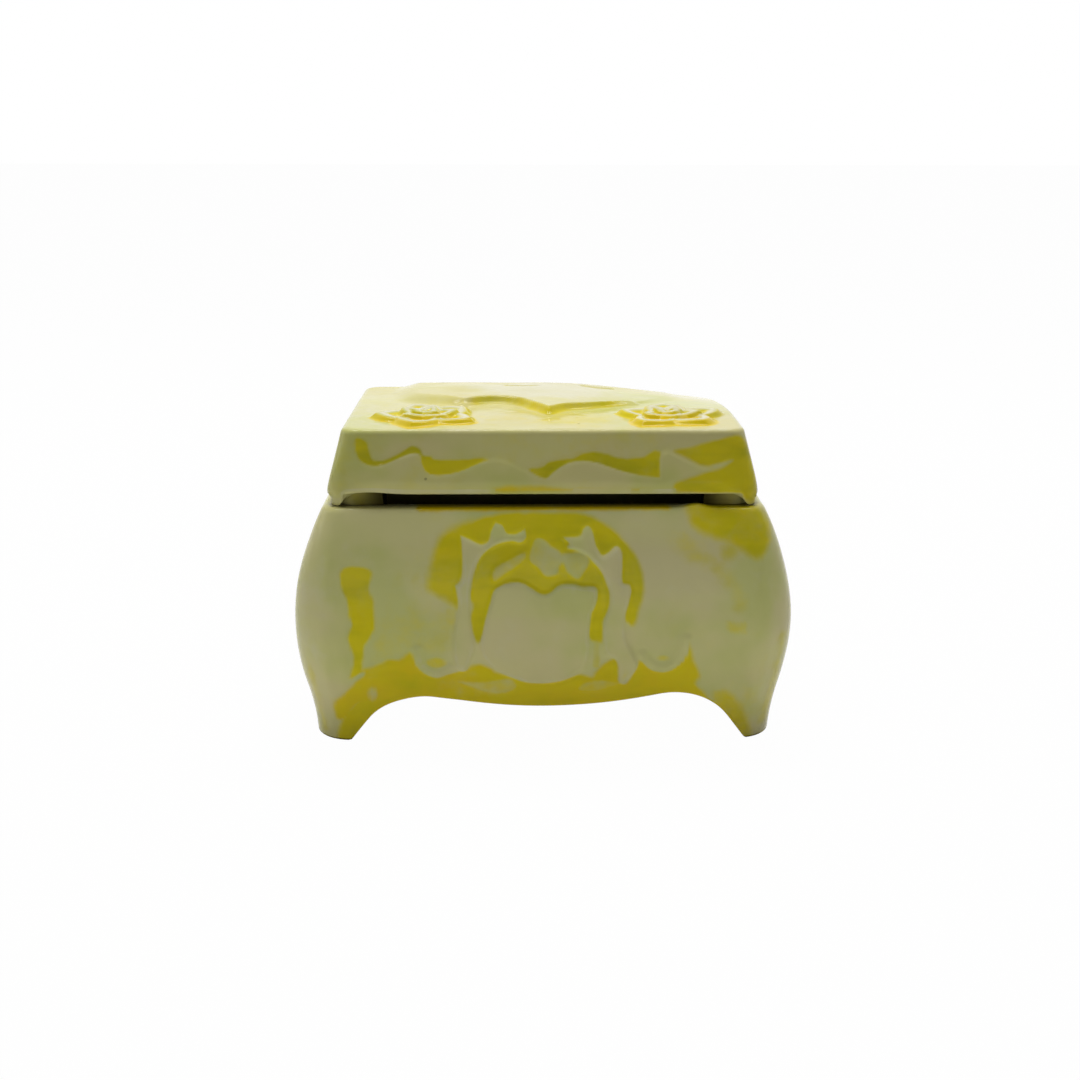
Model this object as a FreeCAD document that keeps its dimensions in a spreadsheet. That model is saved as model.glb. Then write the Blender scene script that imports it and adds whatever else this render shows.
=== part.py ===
import FreeCAD, Part
import math
import os

import Sketcher

# A small footed trinket box in glazed earthenware. The box is a bombe casket on four bracket feet
# with a scalloped apron between them. The lid is loose: four keys under its corners drop into the
# mouth of the box and hold the lid just clear of the rim.
#
# Millimetres, +Z up, +X along the length, front towards -Y. The origin is the centre of the
# footprint, at the height of the surface that the feet stand on.

DIMENSIONS = [
    # outside of the box
    ("belly_width", 90.0, "length over the widest line"),
    ("belly_depth", 64.0, "depth over the widest line"),
    ("belly_corner", 9.5, "corner radius of the plan at the widest line"),
    ("belly_height", 21.0, "height of the widest line"),
    ("rim_height", 43.1, "height of the flat rim"),
    ("knee_height", 9.5, "height where the flank turns from convex to hollow"),
    ("flank_radius", 46.0, "radius of both arcs of the flank"),
    ("rim_bevel", 0.7, "bevel of the rim's outer edge"),
    # inside of the box
    ("wall", 3.2, "thickness of the cast wall"),
    ("cavity_corner", 9.5, "corner radius of the cavity's plan at its widest line"),
    ("band", 9.0, "depth of the swept part of the walls, less than both corner radii"),
    ("floor_underside", 10.6, "height of the floor's underside"),
    ("floor_top", 13.8, "height of the floor inside"),
    ("floor_bevel", 2.5, "size of the bevel between the floor and the walls"),
    # feet and apron
    ("apron_wall", 4.4, "thickness of the apron at the soles"),
    ("hollow_corner", 7.5, "corner radius of the hollow between the feet"),
    ("sole_reach", 5.7, "reach of a sole along each side, from the outline's corner"),
    ("foot_slope", 54.0, "lean of a foot's inner edge, degrees from level"),
    ("arch_radius", 12.0, "radius of the arch beside a foot"),
    ("arch_height", 9.7, "height of the arch's crown"),
    ("front_lobe", 6.9, "height of the long apron's middle lobe"),
    ("end_lobe", 8.6, "height of the short apron's middle lobe"),
    # raised ornament on the front and the back of the box
    ("ornament_rise", 1.1, "height of the cartouche over the flank"),
    ("ornament_foot", 10.8, "height where the ornament starts"),
    ("ornament_top", 42.0, "height where the ornament ends"),
    ("ornament_reach", 24.0, "half the length of the ornament"),
    # lid
    ("lid_gap", 2.2, "height of the lid's lower edge over the rim"),
    ("lid_height", 11.1, "height of the plain lid"),
    ("lid_width", 76.6, "length of the lid's lower edge"),
    ("lid_depth", 50.6, "depth of the lid's lower edge"),
    ("lid_corner", 3.0, "radius of the lid's four upright corners"),
    ("lid_taper", 16.5, "lean of the lid's sides, degrees from upright"),
    ("lid_edge", 3.2, "width of the lid's lower edge"),
    ("lid_skin", 3.6, "thickness of the lid's top"),
    ("lid_bevel", 0.6, "bevel of the lid's top edge"),
    ("wave_rise", 0.7, "height of the wave moulding over the lid's long sides"),
    # relief on top of the lid
    ("bank_rise", 1.15, "height of the raised bank behind the ribbon"),
    ("ribbon_rise", 1.55, "height of the ribbon along the front of the bank"),
    ("rose_left", 21.2, "distance of the left rose from the middle"),
    ("rose_right", 23.3, "distance of the right rose from the middle"),
    ("rose_front", 9.8, "distance of both roses in front of the middle"),
    ("petal_reach", 9.2, "radius round the crowns of a rose's petals"),
    ("petal_notch", 7.6, "radius round the notches between them"),
    ("petal_rise", 1.2, "height of the petals"),
    ("bud_reach", 4.6, "radius round the crowns of a rose's bud"),
    ("bud_notch", 3.6, "radius round the notches of the bud"),
    ("bud_rise", 1.8, "height of the bud"),
    # the back right corner of the lid, which sagged in the kiln
    ("sag_start", 16.0, "where the sag leaves the top's back edge, right of the middle"),
    ("sag_bearing", 38.4, "direction in which the sag falls, degrees left of +X"),
    ("sag_lean", 9.0, "lean of the sagged corner, degrees from level"),
    # keys under the lid's corners
    ("key_reach", 7.0, "reach of a key along each side of its corner"),
    ("key_width", 2.6, "thickness of a key's tongue"),
    ("key_play", 0.4, "play between a tongue and the mouth"),
    ("key_drop", 2.6, "how far a tongue reaches below the rim"),
    ("key_bearing", 1.2, "how far a key's step lies on the rim"),
    ("key_root", 3.0, "how far a key runs up inside the lid"),
    # shared
    ("lap", 0.9, "how far a fill runs into the solid beside it"),
    ("cut_margin", 1.0, "how far a cutting outline runs past the solid"),
]

SLACK = 0.02                       # how exactly an edge has to lie where it is looked for
FLANK_BANDS = 4                    # the flank's convex arc is drawn in this many stretches
CAVITY_BANDS = 2                   # and the cavity's wall in this many straight ones
PETALS = 5                         # in the outer ring of a rose
BUD_PETALS = 3                     # and in its bud


def make_sheet(doc):
    sheet = doc.addObject("Spreadsheet::Sheet", "dims")
    for row, (alias, value, note) in enumerate(DIMENSIONS, start=1):
        sheet.set("A%d" % row, alias)
        sheet.set("B%d" % row, str(value))
        sheet.setAlias("B%d" % row, alias)
        sheet.set("C%d" % row, note)
    doc.recompute()


# ---------------------------------------------------------------- sketches and features


def origin_plane(body, role):
    return next(f for f in body.Origin.OriginFeatures if f.Role == role)


class Outline:
    """A sketch on one of its body's own planes, with its sizes bound to the sheet."""

    def __init__(self, body, name, plane, offset="0"):
        self.sketch = body.newObject("Sketcher::SketchObject", name)
        self.sketch.AttachmentSupport = [(origin_plane(body, plane), "")]
        self.sketch.MapMode = "FlatFace"
        self.sketch.setExpression("AttachmentOffset.Base.z", offset)

    def value(self, expression):
        result = self.sketch.evalExpression(expression)
        return float(getattr(result, "Value", result))

    def line(self, start, end):
        ends = [FreeCAD.Vector(x, y, 0) for x, y in (start, end)]
        return self.sketch.addGeometry(Part.LineSegment(*ends), False)

    def arc(self, centre, radius, start, end):
        circle = Part.Circle(FreeCAD.Vector(*centre, 0), FreeCAD.Vector(0, 0, 1), radius)
        turn = Part.ArcOfCircle(circle, math.radians(start), math.radians(end))
        return self.sketch.addGeometry(turn, False)

    def rule(self, kind, *places):
        self.sketch.addConstraint(Sketcher.Constraint(kind, *places))

    def size(self, kind, *places, by):
        value = math.radians(self.value(by)) if kind == "Angle" else self.value(by)
        index = self.sketch.addConstraint(Sketcher.Constraint(kind, *places, value))
        self.sketch.setExpression("Constraints[%d]" % index, by)

    def pin(self, point, x=None, y=None):
        """Binds where a point lies, with its sign, from the sketch's origin."""
        for kind, axis, by in (("DistanceX", -2, x), ("DistanceY", -1, y)):
            if by == "0":
                self.rule("PointOnObject", *point, axis)
            elif by is not None and self.value(by) > 0:
                self.size(kind, -1, 1, *point, by=by)
            elif by is not None:
                self.size(kind, *point, -1, 1, by="-(%s)" % by)

    def join(self, pieces):
        """Joins each piece's end to the next one's start: a piece is its index, start and end."""
        for (this, _, end), (after, start, _) in zip(pieces, pieces[1:] + pieces[:1]):
            self.rule("Coincident", this, end, after, start)

    def polygon(self, corners):
        """A closed chain of lines, whose corners are pairs of expressions."""
        points = [[self.value(by) for by in corner] for corner in corners]
        sides = [self.line(*ends) for ends in zip(points, points[1:] + points[:1])]
        self.join([(side, 1, 2) for side in sides])
        for side, (x, y) in zip(sides, corners):
            self.pin((side, 1), x, y)

    def arcs(self, points):
        """A closed chain of arcs: every second point is a corner, the others are crowns."""
        points = [FreeCAD.Vector(x, z, 0) for x, z in points]
        closed = points + points[:1]
        chain = []
        for n in range(0, len(points), 2):
            edge = self.sketch.addGeometry(Part.Arc(*closed[n:n + 3]), False)
            forwards = self.sketch.getPoint(edge, 1).isEqual(closed[n], SLACK)
            chain.append((edge, 1, 2) if forwards else (edge, 2, 1))
        self.join(chain)


def rectangle(body, name, height, half_x, half_y):
    """A level rectangle, centred on the upright axis."""
    outline = Outline(body, name, "XY_Plane", height)
    x, y = "(%s)" % half_x, "(%s)" % half_y
    outline.polygon([("-" + x, "-" + y), (x, "-" + y), (x, y), ("-" + x, y)])
    return outline.sketch


def rounded_rectangle(body, name, height, half_x, half_y, radius):
    """A level rounded rectangle, centred on the upright axis."""
    outline = Outline(body, name, "XY_Plane", height)
    x, y, r = (outline.value(size) for size in (half_x, half_y, radius))
    front = outline.line((r - x, -y), (x - r, -y))
    corners = [outline.arc((x - r, r - y), r, 270, 360)]
    right = outline.line((x, r - y), (x, y - r))
    corners.append(outline.arc((x - r, y - r), r, 0, 90))
    back = outline.line((x - r, y), (r - x, y))
    corners.append(outline.arc((r - x, y - r), r, 90, 180))
    left = outline.line((-x, y - r), (-x, r - y))
    corners.append(outline.arc((r - x, r - y), r, 180, 270))
    sides = [front, right, back, left]
    for index, side in enumerate(sides):
        outline.rule("Tangent", side, 2, corners[index], 1)
        outline.rule("Tangent", corners[index], 2, sides[(index + 1) % 4], 1)
        outline.rule("Vertical" if index % 2 else "Horizontal", side)
    for corner in corners[1:]:
        outline.rule("Equal", corners[0], corner)
    outline.size("Radius", corners[0], by=radius)
    outline.pin((right, 1), x=half_x)
    outline.pin((left, 1), x="-(%s)" % half_x)
    outline.pin((back, 1), y=half_y)
    outline.pin((front, 1), y="-(%s)" % half_y)
    return outline.sketch


def push(body, name, kind, sketch, length, both_ways=False, reverse=False):
    """A pad or a pocket of a bound length."""
    feature = body.newObject("PartDesign::" + kind, name)
    feature.Profile = sketch
    feature.setExpression("Length", length)
    feature.SideType = "Symmetric" if both_ways else "One side"
    feature.Reversed = reverse
    body.Document.recompute()
    return feature


def sweep(body, name, kind, section, spine):
    feature = body.newObject("PartDesign::" + kind, name)
    feature.Profile = section
    feature.Spine = (spine, [""])
    body.Document.recompute()


def lean_sides(body, name, foot, chosen, reverse=False):
    """Leans the upright faces that chosen(face) picks, from the level of the foot on."""
    last = body.Tip
    faces = list(enumerate(last.Shape.Faces, start=1))
    feature = body.newObject("PartDesign::Draft", name)
    feature.Base = (last, ["Face%d" % n for n, face in faces if chosen(face)])
    feature.NeutralPlane = (last, ["Face%d" % n for n, face in faces if spans(face, foot, foot)][:1])
    feature.setExpression("Angle", "dims.lid_taper")
    feature.Reversed = reverse
    body.Document.recompute()


def soften(body, name, kind, size, chosen):
    """Rounds or bevels the edges of the body's last feature that chosen(edge) picks."""
    last = body.Tip
    edges = ["Edge%d" % n for n, edge in enumerate(last.Shape.Edges, start=1) if chosen(edge)]
    feature = body.newObject("PartDesign::" + kind, name)
    feature.Base = (last, edges)
    feature.setExpression("Radius" if kind == "Fillet" else "Size", size)
    body.Document.recompute()


def mirror(body, name, plane, originals):
    feature = body.newObject("PartDesign::Mirrored", name)
    feature.Originals = originals
    feature.MirrorPlane = (origin_plane(body, plane), [""])
    body.Tip = feature
    body.Document.recompute()


def spans(piece, low, high):
    """Whether an edge or a face runs between two heights, which are the same for a level one."""
    return abs(piece.BoundBox.ZMin - low) < SLACK and abs(piece.BoundBox.ZMax - high) < SLACK


# ---------------------------------------------------------------- box

BELLY_HALF = "dims.belly_width / 2", "dims.belly_depth / 2"
FLANK_CENTRE = "dims.flank_radius - dims.belly_depth / 2", "dims.belly_height"


def flank_inset(height):
    """How far the flank lies inside the widest line at a height: two arcs that meet at the knee."""
    drop = "(dims.belly_height - dims.knee_height)"
    reach = "sqrt(dims.flank_radius^2 - %s^2)" % drop
    rise = "(%s - dims.belly_height)" % height
    upper = "dims.flank_radius - sqrt(dims.flank_radius^2 - %s^2)" % rise
    lower = "dims.flank_radius - 2 * %s + sqrt(dims.flank_radius^2 - (%s + 2 * %s)^2)" % (
        reach, rise, drop)
    return "(%s < dims.knee_height ? %s : %s)" % (height, lower, upper)


def cavity_reach(half, height):
    """How far the cavity's wall lies from the middle: its arc is concentric with the flank's."""
    radius, rise = "(dims.flank_radius - dims.wall)", "(%s - dims.belly_height)" % height
    return "(%s - dims.flank_radius + sqrt(%s^2 - %s^2))" % (half, radius, rise)


def flank_section(body):
    """The upright section of the flank: a convex arc down to the knee, a hollow one to the sole."""
    section = Outline(body, "flank_section", "YZ_Plane", "dims.belly_corner - " + BELLY_HALF[0])
    inner = BELLY_HALF[1] + " - dims.band"
    climb = "(dims.rim_height - dims.knee_height)"
    heights = ["dims.knee_height + %s * %d / %d" % (climb, n, FLANK_BANDS)
               for n in range(FLANK_BANDS - 1, -1, -1)]
    edge = "(dims.rim_height - dims.rim_bevel)"
    r, cy, cz, rim, edge_z, iy = (section.value(size) for size in (
        "dims.flank_radius", *FLANK_CENTRE, "dims.rim_height", edge, inner))
    turns = [math.asin((cz - height) / r) for height in [edge_z] + list(map(section.value, heights))]
    rim_y = cy - r * math.cos(turns[0]) + rim - edge_z
    foot_y, foot_z = cy - 2 * r * math.cos(turns[-1]), cz - 2 * r * math.sin(turns[-1])
    sole_turn = math.asin(-foot_z / r)
    degrees = math.degrees

    bevel = section.line((rim_y, rim), (cy - r * math.cos(turns[0]), edge_z))
    convex = [section.arc((cy, cz), r, 180 + degrees(high), 180 + degrees(low))
              for high, low in zip(turns, turns[1:])]
    hollow = section.arc((foot_y, foot_z), r, degrees(sole_turn), degrees(turns[-1]))
    sole = section.line((foot_y + r * math.cos(sole_turn), 0), (-iy, 0))
    inside = section.line((-iy, 0), (-iy, rim))
    top = section.line((-iy, rim), (rim_y, rim))
    section.rule("Coincident", top, 2, bevel, 1)
    section.rule("Coincident", bevel, 2, convex[0], 1)
    for this, after in zip(convex, convex[1:]):
        section.rule("Coincident", this, 2, after, 1)
        section.rule("Coincident", this, 3, after, 3)
    section.rule("Tangent", convex[-1], 2, hollow, 2)
    section.rule("Coincident", hollow, 1, sole, 1)
    section.rule("Coincident", sole, 2, inside, 1)
    section.rule("Coincident", inside, 2, top, 1)
    section.rule("Equal", convex[0], hollow)
    section.rule("Vertical", inside)
    section.rule("Horizontal", top)
    section.rule("PointOnObject", sole, 1, -1)
    section.rule("PointOnObject", sole, 2, -1)
    section.size("Radius", convex[0], by="dims.flank_radius")
    section.size("Angle", bevel, by="-135 deg")
    section.pin((bevel, 2), y=edge)
    section.pin((convex[0], 3), *FLANK_CENTRE)
    for arc, height in zip(convex, heights):
        section.pin((arc, 2), y=height)
    section.pin((inside, 1), x="-(%s)" % inner)
    section.pin((top, 1), y="dims.rim_height")
    return section.sketch


def cast_outside(body):
    """The flank's section runs round the plan, and a block fills the middle."""
    spine = rounded_rectangle(body, "belly_plan", "dims.belly_height", *BELLY_HALF, "dims.belly_corner")
    sweep(body, "flank", "AdditivePipe", flank_section(body), spine)
    core = ["%s - dims.band + dims.lap" % half for half in BELLY_HALF]
    push(body, "core", "Pad", rectangle(body, "core_plan", "0", *core), "dims.rim_height")


def cavity_section(body):
    """The upright section of the cavity: short straight runs down the wall, a bevel and the floor."""
    start = "dims.cavity_corner - %s + dims.wall" % BELLY_HALF[0]
    section = Outline(body, "cavity_section", "YZ_Plane", start)
    inner = BELLY_HALF[1] + " - dims.wall - dims.band"
    cove_top = "(dims.floor_top + dims.floor_bevel)"
    heights = ["(dims.rim_height + dims.cut_margin)"]
    heights += ["(dims.rim_height - (dims.rim_height - %s) * %d / %d)" % (cove_top, n, CAVITY_BANDS)
                for n in range(CAVITY_BANDS + 1)]
    wall = [("-" + cavity_reach(BELLY_HALF[1], height), height) for height in heights]
    foot = cavity_reach(BELLY_HALF[1], cove_top)
    floor = [("dims.floor_bevel - " + foot, "dims.floor_top"), ("-(%s)" % inner, "dims.floor_top")]
    section.polygon(wall + floor + [("-(%s)" % inner, heights[0])])
    return section.sketch


def hollow_cavity(body):
    halves = ["%s - dims.wall" % half for half in BELLY_HALF]
    spine = rounded_rectangle(body, "cavity_plan", "dims.belly_height", *halves, "dims.cavity_corner")
    sweep(body, "cavity_flank", "SubtractivePipe", cavity_section(body), spine)
    core = ["%s - dims.band + dims.lap" % half for half in halves]
    plan = rectangle(body, "cavity_core_plan", "dims.floor_top", *core)
    push(body, "cavity_core", "Pocket", plan, "dims.rim_height", reverse=True)


def hollow_underside(body):
    inset = flank_inset("0")
    half_x, half_y = ("%s - %s - dims.apron_wall" % (half, inset) for half in BELLY_HALF)
    plan = rounded_rectangle(body, "underside_plan", "0", half_x, half_y, "dims.hollow_corner")
    push(body, "underside", "Pocket", plan, "dims.floor_underside", reverse=True)


def cut_scallop(body, name, plane, half_length, lobe, through):
    """The opening between two feet: an arch beside each foot and one long lobe between them."""
    outline = Outline(body, name + "_plan", plane)
    radius, slope = outline.value("dims.arch_radius"), math.radians(outline.value("dims.foot_slope"))
    bottom = -outline.value("dims.cut_margin")
    half_gap = "%s - %s - dims.sole_reach" % (half_length, flank_inset("0"))
    foot_line = "%s + dims.cut_margin / tan(dims.foot_slope)" % half_gap
    foot_x = outline.value(foot_line)

    # near the answer, so that the rules below settle on it
    arch_z = outline.value("dims.arch_height") - radius
    turn_x, turn_z = radius * math.sin(slope), arch_z + radius * math.cos(slope)
    arch_x = foot_x - (turn_z - bottom) / math.tan(slope) - turn_x
    drop = outline.value(lobe) - arch_z
    lobe_radius = (arch_x ** 2 + drop ** 2 - radius ** 2) / (2 * (radius - drop))
    lobe_z = outline.value(lobe) + lobe_radius
    tip = math.degrees(math.atan2(lobe_z - arch_z, arch_x))
    lean = math.degrees(slope)

    base = outline.line((-foot_x, bottom), (foot_x, bottom))
    right_foot = outline.line((foot_x, bottom), (arch_x + turn_x, turn_z))
    right_arch = outline.arc((arch_x, arch_z), radius, 90 - lean, 180 - tip)
    middle = outline.arc((0, lobe_z), lobe_radius, 180 + tip, 360 - tip)
    left_arch = outline.arc((-arch_x, arch_z), radius, tip, 90 + lean)
    left_foot = outline.line((-foot_x, bottom), (-arch_x - turn_x, turn_z))
    lowest = outline.sketch.addGeometry(Part.Point(FreeCAD.Vector(0, lobe_z - lobe_radius, 0)), True)

    outline.rule("Symmetric", base, 1, base, 2, -2)
    outline.rule("Coincident", base, 2, right_foot, 1)
    outline.rule("Coincident", base, 1, left_foot, 1)
    outline.rule("Tangent", right_foot, 2, right_arch, 1)
    outline.rule("Tangent", right_arch, 2, middle, 2)
    outline.rule("Tangent", middle, 1, left_arch, 1)
    outline.rule("Tangent", left_arch, 2, left_foot, 2)
    outline.rule("Equal", left_arch, right_arch)
    outline.rule("Symmetric", left_arch, 3, right_arch, 3, -2)
    outline.rule("PointOnObject", lowest, 1, middle)
    outline.size("Radius", left_arch, by="dims.arch_radius")
    outline.pin((left_arch, 3), y="dims.arch_height - dims.arch_radius")
    outline.pin((lowest, 1), x="0", y=lobe)
    outline.pin((base, 2), x=foot_line)
    outline.pin((base, 1), y="-dims.cut_margin")
    outline.size("Angle", left_foot, by="dims.foot_slope * 1 deg")
    push(body, name, "Pocket", outline.sketch, through, both_ways=True)


# Half outlines of the ornament, right of the middle: corners with the crown of each arc between.
SHIELD = [(0, 29.0), (4.6, 30.8), (9.2, 29.2), (8.4, 22.4), (8.0, 16.0), (4.6, 13.0), (0, 12.1)]
SCROLL = [(11.0, 33.4), (16.0, 26.4), (12.2, 18.0), (12.6, 25.8)]       # the C beside the shield
TAIL = [(11.6, 16.2), (17.6, 18.3), (23.2, 15.8), (20.8, 13.4), (18.6, 15.0), (15.4, 16.2)]
LEAVES = [
    [(3.0, 32.4), (3.3, 37.0), (7.6, 40.6), (7.2, 35.6)],
    [(7.6, 32.6), (9.4, 36.0), (13.8, 38.0), (11.4, 34.0)],
]
CREST = [(-2.2, 35.0), (0, 38.4), (2.2, 35.0), (0, 32.4)]               # a boss between the leaves


def flipped(points):
    return [(-x, y) for x, y in points]


def raise_ornament(body):
    """The shield, its scrolls and its leaves stand over the front and the back by one height."""
    depth = "dims.belly_depth + 2 * dims.ornament_rise + 2 * dims.cut_margin"

    shield = Outline(body, "shield_plan", "XZ_Plane")
    shield.arcs(SHIELD + flipped(SHIELD[-2:0:-1]))
    push(body, "shield", "Pad", shield.sketch, depth, both_ways=True)

    scrolls = Outline(body, "scroll_plan", "XZ_Plane")
    for points in [SCROLL] + LEAVES:
        scrolls.arcs(points)
        scrolls.arcs(flipped(points))
    scrolls.arcs(CREST)
    push(body, "scrolls", "Pad", scrolls.sketch, depth, both_ways=True)

    tails = Outline(body, "tail_plan", "XZ_Plane")
    tails.arcs(TAIL)
    tails.arcs(flipped(TAIL))
    push(body, "tails", "Pad", tails.sketch, depth, both_ways=True)
    trim_ornament(body)


def trim_ornament(body):
    """Cuts the ornament down to an arc that is concentric with the flank."""
    crown = Outline(body, "crown_plan", "YZ_Plane")
    radius = "dims.flank_radius + dims.ornament_rise"
    outer_y = "dims.belly_depth / 2 + dims.ornament_rise + 2 * dims.cut_margin"
    r, oy, low, high = (crown.value(size) for size in (
        radius, outer_y, "dims.ornament_foot", "dims.ornament_top"))
    cy, cz = (crown.value(place) for place in FLANK_CENTRE)
    tilt_high, tilt_low = math.asin((high - cz) / r), math.asin((cz - low) / r)
    y_high, y_low = (cy - r * math.cos(tilt) for tilt in (tilt_high, tilt_low))
    bow = crown.arc((cy, cz), r, 180 - math.degrees(tilt_high), 180 + math.degrees(tilt_low))
    top = crown.line((y_high, high), (-oy, high))
    side = crown.line((-oy, high), (-oy, low))
    foot = crown.line((-oy, low), (y_low, low))
    crown.join([(bow, 2, 1), (top, 1, 2), (side, 1, 2), (foot, 1, 2)])
    crown.rule("Horizontal", top)
    crown.rule("Vertical", side)
    crown.rule("Horizontal", foot)
    crown.size("Radius", bow, by=radius)
    crown.pin((bow, 3), *FLANK_CENTRE)
    crown.pin((side, 1), x="-(%s)" % outer_y, y="dims.ornament_top")
    crown.pin((foot, 1), y="dims.ornament_foot")
    cut = push(body, "crown_front", "Pocket", crown.sketch, "2 * dims.ornament_reach", both_ways=True)
    mirror(body, "crown_back", "XZ_Plane", [cut])


def make_box(doc):
    body = doc.addObject("PartDesign::Body", "box_body")
    body.Label = "box_body"
    cast_outside(body)
    raise_ornament(body)
    hollow_cavity(body)
    hollow_underside(body)
    cut_scallop(body, "long_scallop", "XZ_Plane", BELLY_HALF[0], "dims.front_lobe",
                "dims.belly_depth + 2 * dims.cut_margin")
    cut_scallop(body, "short_scallop", "YZ_Plane", BELLY_HALF[1], "dims.end_lobe",
                "dims.belly_width + 2 * dims.cut_margin")
    return body


# ---------------------------------------------------------------- lid

LID_FOOT = "(dims.rim_height + dims.lid_gap)"
LID_TOP = "(dims.rim_height + dims.lid_gap + dims.lid_height)"
HOLLOW_TOP = "(dims.rim_height + dims.lid_gap + dims.lid_height - dims.lid_skin)"
LID_HALF = "dims.lid_width / 2", "dims.lid_depth / 2"

# Half outline of the wave moulding on the lid's long sides, right of the middle.
WAVE = [(0, 48.9), (4.2, 49.5), (7.2, 51.3), (13.4, 49.6), (19.6, 49.0), (21.3, 50.4), (21.4, 52.6),
        (26.8, 50.1), (33.2, 52.4), (34.4, 49.4), (34.6, 46.3)]
WAVE_FOOT = (0, 46.2)

# Seen from above: the raised bank, and the ribbon in two bows, each from its left end on.
BANK = [(-22.4, 4.6), (-18.2, 2.0), (-13.4, 2.4), (-4.1, 1.4), (1.2, -7.6), (9.0, -2.4), (17.6, 1.8),
        (22.0, 6.0), (22.6, 11.0), (19.9, 16.0), (16.0, 20.4), (-5.0, 20.7), (-26.4, 20.4),
        (-27.4, 11.4)]
RIBBON = [(-15.4, 1.0), (-3.2, 2.6), (1.2, -6.2), (8.4, -1.5), (18.6, 2.4), (9.8, -3.4), (1.2, -8.0),
          (-4.9, 0.6)]


def cast_lid(body):
    plan = rectangle(body, "lid_plan", LID_FOOT, *LID_HALF)
    push(body, "lid_block", "Pad", plan, "dims.lid_height")
    foot, top = (plan.evalExpression(height) for height in (LID_FOOT, LID_TOP))
    lean_sides(body, "lid_sides", foot, lambda face: spans(face, foot, top))
    soften(body, "lid_corners", "Fillet", "dims.lid_corner", lambda edge: spans(edge, foot, top))
    soften(body, "lid_top_edge", "Chamfer", "dims.lid_bevel", lambda edge: spans(edge, top, top))


def sag_corner(body):
    """The top falls off towards its back right corner."""
    edge_y = "(%s - dims.lid_height * tan(dims.lid_taper))" % LID_HALF[1]
    fall = Outline(body, "sag_plan", "XZ_Plane", "-" + edge_y)
    upright = FreeCAD.Rotation(FreeCAD.Vector(0, 1, 0), fall.value("dims.sag_bearing"))
    fall.sketch.AttachmentOffset = FreeCAD.Placement(FreeCAD.Vector(), upright)
    fall.sketch.setExpression("AttachmentOffset.Base.x", "dims.sag_start")
    fall.sketch.setExpression("AttachmentOffset.Rotation.Angle", "dims.sag_bearing * 1 deg")
    run = "(dims.lid_width / 2)"
    over = LID_TOP + " + dims.cut_margin"
    fall.polygon([("0", LID_TOP), (run, "%s - %s * tan(dims.sag_lean)" % (LID_TOP, run)), (run, over),
                  ("0", over)])
    push(body, "sag", "Pocket", fall.sketch, "dims.lid_width + dims.lid_depth", both_ways=True)


def raise_wave(body):
    """The moulding stands over both long sides by one height, parallel to them."""
    wave = Outline(body, "wave_plan", "XZ_Plane")
    wave.arcs(WAVE + [WAVE_FOOT] + flipped(WAVE[:0:-1]))
    thickness = "dims.lid_depth + 2 * dims.wave_rise + 2 * dims.cut_margin"
    push(body, "wave", "Pad", wave.sketch, thickness, both_ways=True)

    face = Outline(body, "wave_face_plan", "YZ_Plane")
    low_y = "(%s + dims.wave_rise)" % LID_HALF[1]
    high_y = "(%s - dims.lid_height * tan(dims.lid_taper))" % low_y
    outer_y = "(%s + 2 * dims.cut_margin)" % low_y
    face.polygon([("-" + low_y, LID_FOOT), ("-" + high_y, LID_TOP), ("-" + outer_y, LID_TOP),
                  ("-" + outer_y, LID_FOOT)])
    cut = push(body, "wave_front", "Pocket", face.sketch, "dims.lid_width", both_ways=True)
    mirror(body, "wave_back", "XZ_Plane", [cut])


def raise_bank(body):
    """A low bank fills the back of the top, and a ribbon in two bows runs along its front."""
    for name, points in (("bank", BANK), ("ribbon", RIBBON)):
        outline = Outline(body, name + "_plan", "XY_Plane", LID_TOP)
        outline.arcs(points)
        push(body, name, "Pad", outline.sketch, "dims.%s_rise" % name)


def raise_rose(body, name, centre_x):
    """A ring of petals and a bud on it, each one lobed pad."""
    for layer, lobes in (("petal", PETALS), ("bud", BUD_PETALS)):
        outline = Outline(body, "%s_%s_plan" % (name, layer), "XY_Plane", LID_TOP)
        outline.sketch.setExpression("AttachmentOffset.Base.x", centre_x)
        outline.sketch.setExpression("AttachmentOffset.Base.y", "-dims.rose_front")
        notch, crown = (outline.value("dims.%s_%s" % (layer, size)) for size in ("notch", "reach"))
        turns = [math.pi * n / lobes for n in range(2 * lobes)]
        outline.arcs([(radius * math.cos(turn), radius * math.sin(turn))
                      for turn, radius in zip(turns, [notch, crown] * lobes)])
        push(body, "%s_%s" % (name, layer), "Pad", outline.sketch, "dims.%s_rise" % layer)


def hollow_lid(body):
    halves = ["%s - dims.lid_edge" % half for half in LID_HALF]
    plan = rectangle(body, "lid_hollow_plan", LID_FOOT, *halves)
    push(body, "lid_hollow", "Pocket", plan, "dims.lid_height - dims.lid_skin", reverse=True)
    foot, top = (plan.evalExpression(height) for height in (LID_FOOT, HOLLOW_TOP))
    lean_sides(body, "lid_hollow_sides", foot, lambda face: spans(face, foot, top), reverse=True)
    soften(body, "lid_hollow_corners", "Fillet", "dims.lid_corner", lambda edge: spans(edge, foot, top))


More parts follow.
